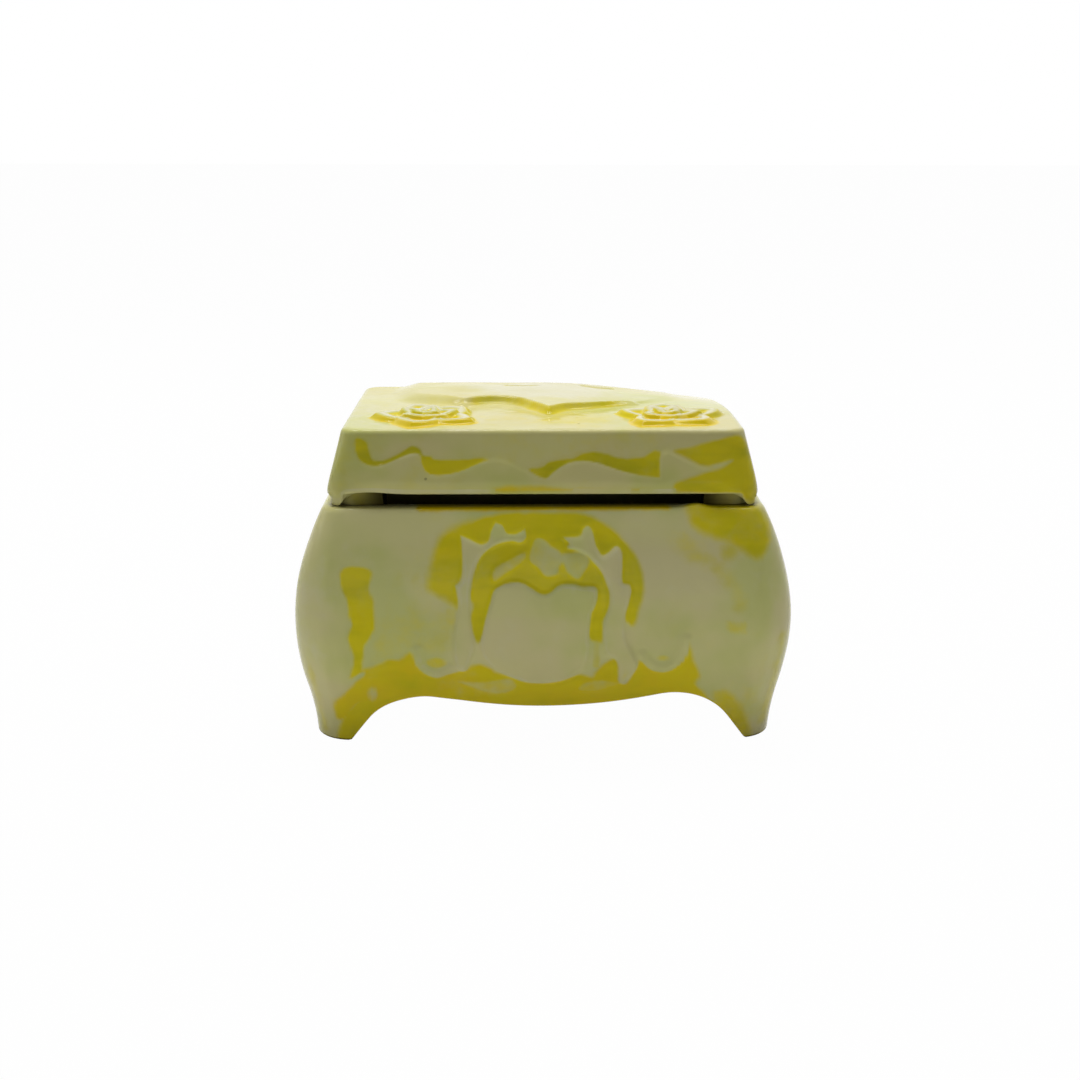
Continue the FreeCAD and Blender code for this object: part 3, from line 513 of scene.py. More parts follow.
def ringXY(columns, core, radius):
    return columns[:, :2] * core + columns[:, 2:] * np.broadcast_to(radius, len(columns))[:, None]


def withHeight(xy, z):
    return np.column_stack([xy, np.broadcast_to(z, len(xy))])


def flankRing(columns, z, raised=True):
    # a ring of the outer wall, with the ornament or without it
    z = np.broadcast_to(z, len(columns)).astype(float)
    radius = boxShape["corner"] - flankInset(z)
    plain = ringXY(columns, outerCore, radius)
    rise = (wobble(*plain.T, z, boxShape["wobbleWave"], 1.3) - 0.5) * boxShape["wobble"]
    fuller = ridge(z - boxShape["bellyHeight"], boxShape["fullerReach"])
    rise = rise + boxShape["endFuller"] * columns[:, 2] ** 2 * fuller
    if raised:
        facing = facingOf(columns[:, 3], 0.05)
        height = reliefOf(longSide, sidePlaces(facing, plain, z))
        fade = softStep((rimHeight - z) / boxShape["rimFade"])
        fade = fade * softStep((z - lowerEdge(plain)) / boxShape["apronFade"])
        rise = rise + np.where(facing == 0, 0, height * fade)
    return withHeight(ringXY(columns, outerCore, radius + rise), z)


def cavityRing(columns, z):
    return withHeight(ringXY(columns, cavityCore, boxShape["corner"] - cavityInset(z)), z)


def undersideRing(xy):
    return withHeight(xy, lowerEdge(xy))


def boxRows(columns):
    # all rings of the box, from the middle of its floor over the rim and down to its underside
    rows, kinds = [], []

    def add(kind, *rings):
        rows.extend(rings)
        kinds.extend([kind] * len(rings))

    def between(start, end, shares):
        return [start + (end - start) * share for share in shares]

    # floor of the cavity, its cove and its wall
    cove = boxShape["floorCove"]
    coveFoot = boxShape["floorTop"] + cove
    coveRadius = boxShape["corner"] - float(cavityInset(coveFoot))
    turned = [math.pi / 2 * n / boxShape["coveRows"] for n in range(boxShape["coveRows"], 0, -1)]
    coves = [withHeight(ringXY(columns, cavityCore, coveRadius - cove * (1 - math.cos(turn))),
                        coveFoot - cove * math.sin(turn)) for turn in turned]
    mouthFoot = rimHeight - boxShape["mouthRound"]
    add("floor", *[coves[0] * (share, share, 1) for share in boxShape["floorRings"]])
    add("cavity", *coves)
    add("cavity", *[cavityRing(columns, z) for z in np.linspace(coveFoot, mouthFoot, boxShape["cavityRows"])])

    # rim: rounded inside, flat, and rounded outside
    mouthEdge = cavityRing(columns, rimHeight)
    outerEdge = flankRing(columns, rimHeight, raised=False)
    across = outerEdge - mouthEdge
    across = across / np.hypot(*across.T[:2])[:, None]
    innerFlat = mouthEdge + across * boxShape["mouthRound"]
    outerFlat = outerEdge - across * boxShape["rimRound"]
    top = rimHeight - boxShape["rimRound"]
    add("rim", *roundBy(rows[-1], mouthEdge, innerFlat, 3))
    add("rim", *between(innerFlat, outerFlat, (0, 0.33, 0.67, 1)))
    add("flank", *roundBy(outerFlat, outerEdge, flankRing(columns, top), 5))

    # flank, from the rim down to the rounded edge of the apron and the feet
    soleLine = lowerEdge(ringXY(columns, outerCore, boxShape["corner"] - soleInset))
    bottom = soleLine + boxShape["footRound"]
    shares = np.linspace(0, 1, boxShape["flankRows"])
    add("flank", *[flankRing(columns, top + (bottom - top) * share) for share in shares])

    # lower edge, the inner side of the apron and the hollow under the floor
    outerFoot = flankRing(columns, soleLine, raised=False)
    inner = ringXY(columns, hollowCore, boxShape["hollowCorner"])
    innerFoot = undersideRing(inner)
    across = innerFoot - outerFoot
    across = across / np.hypot(*across.T[:2])[:, None]
    outerFlat = undersideRing((outerFoot + across * boxShape["footRound"])[:, :2])
    innerFlat = undersideRing((innerFoot - across * boxShape["innerRound"])[:, :2])
    wallFoot = innerFoot + np.array([0, 0, boxShape["innerRound"]])
    add("sole", *roundBy(rows[-1], outerFoot, outerFlat, 4))
    add("sole", outerFlat)
    add("sole", *[undersideRing(ring[:, :2]) for ring in between(outerFlat, innerFlat, (0.3, 0.6))])
    add("sole", innerFlat)
    add("sole", *roundBy(innerFlat, innerFoot, wallFoot, 2))
    ceiling, cove = boxShape["floorUnderside"], boxShape["ceilingCove"]
    wallTop = withHeight(inner, np.maximum(ceiling - cove, wallFoot[:, 2] + 0.05))
    coved = withHeight(ringXY(columns, hollowCore, boxShape["hollowCorner"] - cove), ceiling)
    add("under", *between(wallFoot, wallTop, (0, 0.25, 0.5, 0.75, 1)))
    add("under", *roundBy(wallTop, withHeight(inner, ceiling), coved, 3))
    add("under", *[coved * (share, share, 1) for share in boxShape["ceilingRings"]])
    return np.array(rows), np.array(kinds)


rimRun = {"at": 27.0, "width": 2.2, "rise": 0.65, "below": 1.6, "fade": 1.4, "outFrom": 23.5, "outFade": 1.5}


def runOverRim(rows, kinds):
    # a run of glaze over the rim's front edge
    x, y, z = (rows[:, :, axis] for axis in range(3))
    along = np.exp(-((x - rimRun["at"]) / rimRun["width"]) ** 2) * (y < 0)
    onEdge = np.isin(kinds, ("rim", "flank"))[:, None]
    onEdge = onEdge * softStep((z - rimHeight + rimRun["below"]) / rimRun["fade"])
    outside = softStep((-y - rimRun["outFrom"]) / rimRun["outFade"])
    rows[:, :, 2] += rimRun["rise"] * along * onEdge * outside


clayAndShadeLevels = {
    # how much of the near-black clay colour each place gets: bare clay on the seats, and painted shade inside
    # and in the gap
    "inside": 0.45,
    "seat": 0.85,
    "below": 1.6,
    "fade": 0.8,
    "fromEdge": 1.3,
    "edgeFade": 0.6,
    "keys": 0.5,
    "keysFrom": 4.0,        # the keys are painted darker away from the lid's corners, as shade deeper in the gap
    "keysOver": 6.0,
}


def clayAndShadeShare(rows, kinds):
    # the near-black clay colour over the inside of the box is painted shade, and it is strongest on the mouth
    # where the lid's keys rub, partly bare clay and partly painted shade in the gap
    seat = softStep((rows[:, :, 2] - rimHeight + clayAndShadeLevels["below"]) / clayAndShadeLevels["fade"])
    fromEdge = (boxHalf - rimInset - np.abs(rows[:, :, :2])).min(2)
    seat = seat * softStep((fromEdge - clayAndShadeLevels["fromEdge"]) / clayAndShadeLevels["edgeFade"])
    clayAndShade = np.where(np.isin(kinds, ("rim", "cavity"))[:, None], clayAndShadeLevels["seat"] * seat, 0)
    inside = np.isin(kinds, ("floor", "cavity"))[:, None]
    return np.where(inside, np.maximum(clayAndShade, clayAndShadeLevels["inside"]), clayAndShade)


def makeBox():
    columns = boxColumns()
    rows, kinds = boxRows(columns)
    facing = facingOf(columns[:, 3], 0.05)
    glaze, ochre = np.zeros(rows.shape[:2]), np.zeros(rows.shape[:2])
    for index, kind in enumerate(kinds):
        glaze[index], ochre[index] = boxGlaze(kind, rows[index], facing)
    runOverRim(rows, kinds)
    layers = {"glaze": glaze, "ochre": ochre, "clayAndShade": clayAndShadeShare(rows, kinds)}
    piece = sheetOfRows("glazed_box_casting", rows, layers)
    print("box:", len(piece.data.vertices), "points")
    return piece


endSide = {
    "bandTop": (12.6, (1.6, 0.33, 0.6), (0.8, 0.91, 0.0)),      # levels with their waves
    "stripeAt": (20.0, (0.9, 0.42, 0.0), (0.5, 1.1, 1.0)),
    "rimBandFoot": (41.0, (-1.2, 0.4, 1.0)),
    "bandSoft": 1.4,
    "stripe": {"level": 0.8, "half": 1.76, "soft": 1.1, "top": 33.0, "topFade": 2.0, "foot": 12.0,
               "footFade": 3.0},
    "rimBand": {"level": 0.7, "soft": 1.6, "at": -6.0, "half": 16.9, "fade": 13.0},
    "ochreTop": 15.0,
    "ochre": (0.7, 0.3),                                        # below that height and above it
}
plainGlaze = {  # share of yellow and share of ochre
    "under": (0.25, 0.5),
    "sole": (0.75, 0.6),
}
insideGlaze = {"pool": 0.35, "poolTop": 20.0, "poolFade": 6.0, "cloud": 0.12, "cloudWave": 5.0, "ochre": 0.3}


def endGlaze(y, z):
    # the short sides: a brushed band over the apron, a soft stripe by each corner and a rim band
    band = softStep((wavy(y, *endSide["bandTop"]) - z) / endSide["bandSoft"] + 0.5)
    stripe, rimBand = endSide["stripe"], endSide["rimBand"]
    away = np.abs(np.abs(y) - wavy(z, *endSide["stripeAt"]))
    striped = stripe["level"] * softStep((stripe["half"] - away) / stripe["soft"])
    striped = striped * softStep((stripe["top"] - z) / stripe["topFade"])
    striped = striped * softStep((z - stripe["foot"]) / stripe["footFade"])
    atRim = rimBand["level"] * softStep((z - wavy(y, *endSide["rimBandFoot"])) / rimBand["soft"])
    atRim = atRim * softStep((rimBand["half"] - np.abs(y - rimBand["at"])) / rimBand["fade"])
    return np.maximum.reduce([band, striped, atRim]), np.where(z < endSide["ochreTop"], *endSide["ochre"])


def boxGlaze(kind, ring, facing):
    x, y, z = ring.T
    if kind in ("floor", "cavity"):
        pool = insideGlaze["pool"] * softStep((insideGlaze["poolTop"] - z) / insideGlaze["poolFade"])
        cloud = insideGlaze["cloud"] * softStep(0.5 + wobble(x, y, z, insideGlaze["cloudWave"], 2.2))
        return pool + cloud, insideGlaze["ochre"]
    if kind == "under":
        return plainGlaze["under"]
    share, ochre = glazeOf(longSide, sidePlaces(facing, ring, z))
    endShare, endOchre = endGlaze(y, z)
    share, ochre = np.where(facing == 0, endShare, share), np.where(facing == 0, endOchre, ochre)
    if kind == "sole":
        least, ochre = plainGlaze["sole"]
        return np.maximum(share, least), ochre
    return share, ochre


lidShape = {
    "gap": 2.2,
    "height": 11.1,
    "halfDepth": 25.3,
    "corner": 3.0,
    "lean": 16.5,
    "topRound": 1.0,
    "footRound": 0.9,
    "edge": 3.2,
    "skin": 3.6,
    "cove": 1.6,
    "hollowCorner": 2.2,
    "ceilingCorner": 0.8,
    "ceilingRings": (0.8, 0.55, 0.3, 0.08),
    "wobble": 0.06,
    "wobbleWave": 6.0,
    "topPlacesX": ((-1.0, -0.92, -0.34, 0.38, 0.96, 1.0), (0.42, 0.24, 0.38, 0.24, 0.42)),
    "topPlacesY": ((-1.0, 0.1, 1.0), (0.23, 0.42)),
    "topFade": (1.2, 1.0),      # the relief on the top sinks this far from its edges
    "topFadeLeast": 0.25,
    "sideRows": 30,
    "waveFade": (2.4, 1.2),     # the wave moulding fades this far from the lower and upper edge
    "slack": 0.05,
    "keyReach": 7.0,
    "keyWidth": 2.6,
    "keyPlay": 0.4,
    "keyDrop": 2.6,
    "keyBearing": 1.2,
    "keyRoot": 3.0,
    "keyCorner": 3.9,
    "keyFuller": 0.4,           # how much fuller a key's step is at the corner
}
lidUneven = {
    "footReach": 4.0,
    "footFade": 2.3,
    "footHeight": 3.2,          # up to here the sides come down with the corner feet
    "wave": 0.35,
    "waveAt": -30.5,
    "waveWidth": 3.6,
    "droop": 2.7,
    "droopX": (8.0, 27.0, 1.5),     # where it starts, over what length, and how it bends
    "droopY": (-6.0, 28.0, 1.6),
    "bulgeStart": 26.0,
    "bulgeFade": 9.0,
    "bulges": {-1: (0.55, 1.0), 1: (0.3, 0.8)},     # left and right, at the lower edge and the top
}
lidFoot = rimHeight + lidShape["gap"]
lidTop = lidFoot + lidShape["height"]
lean = math.tan(math.radians(lidShape["lean"]))
lidHalf = np.array([lidHigh[0], lidShape["halfDepth"]])
topHalf = lidHalf - lidShape["height"] * lean

lidSide = {
    "raised": {
        "wave": {"rise": 0.55, "soft": 0.8, "outline": [
            (-33.6, 54.4), (-32.6, 52.4), (-31.5, 51.0), (-30.0, 50.3), (-28.1, 50.5), (-26.0, 51.4),
            (-24.0, 52.2), (-22.5, 52.5), (-21.7, 51.9), (-21.4, 50.6), (-20.6, 49.3), (-19.0, 48.8),
            (-16.4, 49.0), (-14.0, 49.7), (-11.0, 50.9), (-8.8, 51.4), (-6.6, 51.0), (-3.6, 49.7),
            (-1.2, 48.5), (0.5, 48.1), (1.6, 49.1), (3.4, 50.3), (5.2, 51.0), (7.5, 51.1), (9.8, 50.6),
            (13.3, 49.5), (16.9, 48.6), (20.5, 48.2), (20.5, 48.2), (20.6, 51.6), (21.7, 52.7),
            (23.2, 52.2), (26.0, 50.8), (28.4, 49.9), (30.2, 50.1), (32.0, 51.2), (33.6, 52.8),
            (35.2, 53.6), (37.0, 50.0), (38.6, 46.0), (38.6, 46.0), (20.0, 46.2), (0.0, 46.2),
            (-20.0, 46.2), (-38.6, 46.0), (-38.6, 46.0), (-37.0, 50.0), (-35.2, 54.2)]},
    },
    "yellow": {
        "leftHook": {"level": 1.0, "soft": 0.9, "outline": [
            (-32.3, 54.8), (-30.9, 54.3), (-30.5, 53.0), (-29.8, 51.4), (-28.4, 51.2), (-26.3, 52.0),
            (-24.6, 52.9), (-23.3, 53.6), (-21.9, 53.1), (-21.2, 52.0), (-19.9, 51.9), (-19.0, 51.3),
            (-14.0, 51.3), (-10.6, 51.5), (-10.0, 50.4), (-16.0, 47.5), (-22.0, 48.0), (-24.0, 50.5),
            (-29.0, 49.4), (-32.0, 51.4)]},
        "middle": {"level": 0.9, "soft": 0.9, "outline": [
            (-2.6, 49.8), (-0.4, 50.1), (1.0, 50.9), (3.4, 51.3), (5.4, 51.6), (6.8, 52.3), (8.9, 52.6),
            (10.9, 52.3), (13.0, 51.6), (15.1, 51.4), (17.5, 51.7), (19.0, 52.6), (20.0, 52.8),
            (20.8, 52.0), (20.8, 47.0), (0.5, 47.0), (-1.8, 48.4)]},
        "rightEnd": {"level": 1.0, "soft": 1.3, "ochre": 0.25, "outline": [
            (22.9, 52.7), (25.3, 53.4), (27.7, 54.0), (30.1, 54.5), (32.2, 55.2), (33.9, 55.3),
            (35.4, 54.0), (36.6, 51.0), (37.6, 48.0), (38.2, 45.5), (30.0, 45.4), (23.6, 46.0),
            (23.2, 47.3), (25.3, 48.1), (28.3, 49.0), (31.0, 49.9), (33.0, 51.2), (30.5, 50.7),
            (28.3, 50.3), (25.5, 51.4)]},
        "lower": {"level": 0.75, "soft": 1.5, "ochre": 0.55, "outline": [
            (-13.0, 45.0), (-9.7, 46.0), (-7.7, 46.8), (-4.7, 47.2), (0.2, 47.0), (4.4, 46.4),
            (12.7, 46.2), (16.3, 46.4), (19.7, 46.0), (22.5, 45.2), (4.0, 44.4)]},
        "smear": {"level": 0.35, "soft": 2.6, "outline": [
            (-6.0, 49.0), (-2.0, 50.4), (3.0, 51.6), (8.0, 53.0), (6.0, 49.6), (1.0, 47.2)]},
    },
    "pale": {},
    "wiped": {"wave": 1.0},
    "unwiped": ("rightEnd", "lower"),
    "paintedFootHighlight": {"level": 0.8, "height": 1.2, "fade": 0.5},
    "endBand": {"level": 0.75, "half": 1.69, "soft": 1.3},
    "endBandAt": (49.6, (0.9, 0.36, 0.0)),
    "endBandBreaks": (0.4, (0.8, 0.24, 0.7)),
    "edge": 0.7,
    "lip": 0.3,
    "tint": 0.10,
    "reach": 34.5,
}

rose = {
    "centres": [(-21.2, -10.4), (23.3, -10.4)],
    "turns": [-1.83, -2.16],
    "layers": [  # from the outer petals to the bud: how many, where their lips run, and how high
        {"petals": 5, "ring": 7.3, "lobe": 1.2, "lip": 0.9, "trough": 0.6, "fold": 2.6, "turn": 0.0},
        {"petals": 5, "ring": 4.3, "lobe": 0.7, "lip": 1.3, "trough": 0.7, "fold": 2.0, "turn": 0.75},
        {"petals": 3, "ring": 2.0, "lobe": 0.45, "lip": 1.55, "trough": 0.5, "fold": 1.5, "turn": 0.9},
    ],
    "uneven": (0.04, 0.025),
    "roundness": 0.8,       # of a petal's outline
    "point": 0.35,          # where a petal is folded to a point
    "lipWidth": 1.6,
    "lipDip": 0.25,         # how much lower a lip is between two petals
    "foldStart": 0.6,
    "foldPool": {"start": 0.15, "over": 0.5},
    "outerPool": {"level": 0.85, "start": 0.3, "over": 0.8},
    "lipPale": {"level": 0.9, "at": 0.75, "width": 0.9},
    "overlap": 0.12,        # height over which a layer's yellow gives way to the next one's
    "pool": 2.7,            # width of the yellow around the whole rose
    "poolLevel": 0.95,
    "poolStart": 0.2,
    "poolOver": 0.8,
    "edge": 1.2,
}

plateau = {
    "rise": 1.15,
    "soft": 1.3,
    "outline": [
        (-26.8, 20.8), (-27.4, 14.0), (-25.4, 6.0), (-19.0, 3.4), (-14.6, 1.4), (-11.2, 3.0),
        (-7.6, 3.4), (-4.2, 1.4), (-1.6, -3.0), (1.2, -7.6), (1.2, -7.6), (4.4, -4.2), (8.3, -2.4),
        (13.3, 0.2), (17.6, 2.0), (22.0, 6.0), (26.4, 12.0), (27.0, 20.8), (27.0, 24.0), (-26.8, 24.0)],
    "softer": ((1, 2.5, 19.0, 5.0), (-1, 3.0, 14.0, 6.0)),      # to which end, how much, from, over
    "fall": 0.75,           # how much lower its right end is
    "fallFrom": -2.0,
    "fallOver": 26.0,
    "humps": [((-15.0, 14.0), (8.0, 6.5), 0.35), ((-2.0, 13.0), (7.5, 6.0), 0.2)],
    "creases": [[(-7.0, 16.4), (-3.4, 15.2), (-1.0, 15.9)], [(8.6, 17.8), (11.5, 16.6), (14.5, 17.0)]],
    "creaseDepth": 0.35,
    "creaseWidth": 0.9,
}

ribbon = {
    "line": [
        (-15.4, 0.2), (-11.2, 3.0), (-7.6, 3.4), (-4.2, 1.4), (-1.6, -3.0), (1.2, -7.6), (1.2, -7.6),
        (4.4, -4.2), (8.3, -2.4), (13.3, 0.2), (17.6, 1.6)],
    "rise": 0.5,
    "width": 1.6,
    "poolLevel": 0.72,
    "poolWidth": 1.9,
    "poolEnd": 0.75,        # how far up the bank's face it reaches
    "poolSoft": (1.1, 0.7),
    "poolReach": 2.6,
    "poolFade": 0.8,
    "paleLevel": 0.6,
    "paleAt": 1.3,
    "paleWidth": 1.0,
    "middle": 1.0,
    "half": 17.5,
    "taper": 5.0,
}

topGlaze = {
    "ochre": 0.35,
    "roseOchre": 0.5,
    "roseOchreOver": 5.0,
    "roseClears": 0.85,     # how much of the top's other relief gives way under a rose
    "plain": 0.15,          # where there is less yellow or pale glaze than this, the washes show
    "yellowWash": {"level": 0.30, "centre": (2, -12), "radii": (15, 9), "reach": 1.4},
    "washes": [
        {"level": -0.35, "centre": (-33, -4), "radii": (9, 18), "reach": 1.5},
        {"level": -0.7, "centre": (2, 12), "radii": (14, 9), "reach": 1.5},
        {"level": 0.25, "centre": (-18, 4), "radii": (9, 7), "reach": 1.4},
    ],
}


def roseOf(places, centre, turn):
    # height of a rose, its share of yellow, and how much of the place it covers
    away = np.hypot(*(places - np.array(centre)).T)
    angle = np.arctan2(places[:, 1] - centre[1], places[:, 0] - centre[0])
    slow, fast = rose["uneven"]
    uneven = wavy(angle, 1, (slow, 3, 5 * turn), (fast, 7, 3 * turn))
    height, yellow = np.zeros(len(places)), np.zeros(len(places))
    for layer in rose["layers"]:
        swing = layer["petals"] * (angle - turn - layer["turn"]) / 2
        lobes = rose["roundness"] * np.abs(np.cos(swing)) + rose["point"] * (1 - np.abs(np.sin(swing))) ** 2
        inward = (layer["ring"] + layer["lobe"] * (2 * lobes - 1)) * uneven - away
        fold = softStep((inward - rose["foldStart"]) / layer["fold"])
        lip = layer["lip"] * (1 - rose["lipDip"] * (1 - lobes))
        petals = (lip - layer["trough"] * fold) * softStep(1 + inward / rose["lipWidth"])
        # yellow pools in the fold and outside the lip, and the lip itself stays pale
        inFold, outer, pale = rose["foldPool"], rose["outerPool"], rose["lipPale"]
        pooled = np.maximum(softStep((fold - inFold["start"]) / inFold["over"]),
                            outer["level"] * softStep((outer["start"] - inward) / outer["over"]))
        pooled = pooled - pale["level"] * ridge(inward - pale["at"], pale["width"])
        yellow = yellow + (pooled - yellow) * softStep(0.5 + (petals - height) / rose["overlap"])
        height = np.maximum(height, petals)
        if layer is rose["layers"][0]:
            fromEdge = inward
    pool = rose["pool"] * wavy(angle, 0.8, (0.3, 1, 2.2 - turn * 0.5))
    around = rose["poolLevel"] * softStep((fromEdge + pool) / rose["edge"])
    yellow = yellow + (around - yellow) * softStep((-fromEdge - rose["poolStart"]) / rose["poolOver"])
    return height, yellow, softStep((fromEdge + rose["pool"] + 0.9) / rose["edge"])


def bankHeight(places, inward):
    # the bank along the back of the lid's top: softer at both ends, and lower to the right
    x = places[:, 0]
    falling = 1 - plateau["fall"] * softStep((x - plateau["fallFrom"]) / plateau["fallOver"])
    soft = plateau["soft"]
    for towards, more, start, length in plateau["softer"]:
        soft = soft + plateau["soft"] * more * softStep((towards * x - start) / length)
    bank = plateau["rise"] * falling * softStep(0.5 + inward / soft)
    for centre, radii, rise in plateau["humps"]:
        bank = bank + rise * softStep(1 - ovalDistance(places, centre, radii))
    return bank


def wash(places, patch):
    return patch["level"] * softStep(patch["reach"] - ovalDistance(places, patch["centre"], patch["radii"]))


def lidTopRelief(places):
    # height over the lid's top, its share of yellow and the share of ochre in it
    inward = -shapeDistance(places, plateau)
    fromLine = distanceTo(places, curveThrough(ribbon["line"], closed=False), False)
    height = bankHeight(places, inward) + ribbon["rise"] * softStep(1 - fromLine / ribbon["width"])
    # yellow pools along the foot of the ribbon, and its upper edge is pale
    footSoft, endSoft = ribbon["poolSoft"]
    onFace = softStep((inward + ribbon["poolWidth"]) / footSoft)
    onFace = onFace * softStep((ribbon["poolEnd"] - inward) / endSoft)
    pale = ribbon["paleLevel"] * ridge(inward - ribbon["paleAt"], ribbon["paleWidth"])
    taper = softStep((ribbon["half"] - np.abs(places[:, 0] - ribbon["middle"])) / ribbon["taper"])
    nearLine = softStep((ribbon["poolReach"] - fromLine) / ribbon["poolFade"])
    yellow = (ribbon["poolLevel"] * onFace - pale) * taper * nearLine
    for crease in plateau["creases"]:
        away = distanceTo(places, curveThrough(crease, closed=False), False)
        dip = plateau["creaseDepth"] * ridge(away, plateau["creaseWidth"])
        height = height - dip
        yellow = np.maximum(yellow, dip)
    washed = np.maximum(yellow, wash(places, topGlaze["yellowWash"]))
    washed = washed + sum(wash(places, patch) for patch in topGlaze["washes"])
    yellow = np.where(np.abs(yellow) > topGlaze["plain"], yellow, washed)
    ochre = np.full(len(places), topGlaze["ochre"])
    for centre, turn in zip(rose["centres"], rose["turns"]):
        petals, pooled, near = roseOf(places, centre, turn)
        height = height * (1 - topGlaze["roseClears"] * near) + petals * near
        yellow = yellow * (1 - near) + pooled * near
        inFront = softStep((centre[1] - places[:, 1]) / topGlaze["roseOchreOver"])
        ochre = np.maximum(ochre, near * (topGlaze["ochre"] + topGlaze["roseOchre"] * inFront))
    return height, yellow, ochre


def lowerCorners(points, outside):
    # the corners of the lid's lower edge come down to the rim, and beside one of them it waves up
    toCorner = lidHalf - np.abs(points[:, :2])
    corners = softStep((lidUneven["footReach"] - toCorner) / lidUneven["footFade"]).prod(1)
    low = softStep(1 - (points[:, 2] - lidFoot) / lidUneven["footHeight"]) * outside
    points[:, 2] -= (lidShape["gap"] - lidShape["slack"]) * corners * low
    wave = np.exp(-((points[:, 0] - lidUneven["waveAt"]) / lidUneven["waveWidth"]) ** 2) * (points[:, 1] < 0)
    points[:, 2] += lidUneven["wave"] * wave * low * (1 - corners)


def sagCorner(points):
    # the real lid sags a little at its back right corner
    sag = lidUneven["droop"] * softStep((points[:, 2] - lidFoot) / lidShape["height"])
    for axis, label in enumerate(("droopX", "droopY")):
        start, length, power = lidUneven[label]
        sag = sag * np.clip((points[:, axis] - start) / length, 0, 1) ** power
    points[:, 2] -= sag


def bulgeEnds(points):
    up = np.clip((points[:, 2] - lidFoot) / lidShape["height"], 0, 1)
    for towards, (low, high) in lidUneven["bulges"].items():
        atEnd = softStep((towards * points[:, 0] - lidUneven["bulgeStart"]) / lidUneven["bulgeFade"])
        atEnd = atEnd * (points[:, 2] > lidFoot - 0.2)
        points[:, 0] += towards * atEnd * (low + (high - low) * up)


def placesOver(half, edges, steps):
    # places from one side of the top to the other, closer together where its relief is fine
    parts = [np.linspace(start, end, round((end - start) * half / step), endpoint=False)
             for start, end, step in zip(edges, edges[1:], steps)]
    return np.append(np.concatenate(parts), 1.0) * half


def roundCorners(square, innerHalf):
    # places on a rectangle, moved so that its corners are round, with their places on the core
    # rectangle, -1 to 1, and their outward directions
    past = np.sign(square) * np.maximum(np.abs(square) - innerHalf, 0)
    length = np.hypot(*past.T)[:, None]
    outward = np.where(length > tiny, past / np.maximum(length, tiny), 0)
    core = np.clip(square / innerHalf, -1, 1)
    return core * innerHalf + outward * np.abs(past).max(1)[:, None], core, outward


def makeLid():
    gridHalf = topHalf - lidShape["topRound"]
    lines = [placesOver(half, *lidShape[label])
             for half, label in zip(gridHalf, ("topPlacesX", "topPlacesY"))]
    piece = newGrid("glazed_lid_casting", len(lines[0]) - 1, len(lines[1]) - 1)
    layers, seat = lidRows()
    # the border goes down and in, one layer after another; each new ring waits one step lower
    bpy.ops.object.mode_set(mode="EDIT")
    selectOpenEdges()
    for _ in layers:
        bpy.ops.mesh.extrude_edges_move(TRANSFORM_OT_translate={"value": (0, 0, -1)})
    bpy.ops.mesh.edge_face_add()
    faceOutwards()

    points = pointsOf(piece)
    level = np.rint(-points[:, 2]).astype(int)
    square = np.column_stack([np.interp(points[:, axis], np.linspace(-1, 1, len(line)), line)
                              for axis, line in enumerate(lines)])
    flat, core, outward = roundCorners(square, topHalf - lidShape["corner"])
    placed = np.zeros_like(points)
    glaze, ochre, clayAndShade = np.zeros((3, len(points)))
    top = level == 0
    height, glaze[top], ochre[top] = lidTopRelief(flat[top])
    edgeFade = softStep((gridHalf - np.abs(flat[top])) / lidShape["topFade"]).prod(1)
    edgeFade = lidShape["topFadeLeast"] + (1 - lidShape["topFadeLeast"]) * edgeFade
    wave = wobble(*flat[top].T, 0, lidShape["wobbleWave"], 0.7) - 1
    placed[top] = withHeight(flat[top], lidTop + lidShape["wobble"] * wave + height * edgeFade)
    lastOutside = layers.index(seat[0]) + 1
    for index, layer in enumerate(layers, start=1):
        here = level == index
        placed[here], glaze[here], ochre[here] = layer(core[here], outward[here])
        # inside the lid the clay colour is painted shade; on the keys it is bare clay, painted darker away
        # from the corners as shade
        if index > lastOutside:
            clayAndShade[here] = clayAndShadeLevels["inside"]
        if layer in seat:
            fromCorner = np.hypot(*(lidHalf - np.abs(placed[here][:, :2])).T)
            more = softStep((fromCorner - clayAndShadeLevels["keysFrom"]) / clayAndShadeLevels["keysOver"])
            clayAndShade[here] = clayAndShadeLevels["keys"] + (1 - clayAndShadeLevels["keys"]) * more
    lowerCorners(placed, (level > 0) & (level <= lastOutside))
    sagCorner(placed)
    bulgeEnds(placed)
    movePoints(piece, placed, {"glaze": glaze, "ochre": ochre, "clayAndShade": clayAndShade})
    bpy.ops.object.mode_set(mode="EDIT")
    faceOutwards()
    print("lid:", len(piece.data.vertices), "points")
    return piece


def lidRing(core, outward, half, corner):
    return core * (half - corner) + outward * corner


# Each ring of the lid is a function of the places on the core rectangle and their outward
# directions. It gives the ring's points, its share of yellow and its share of ochre.

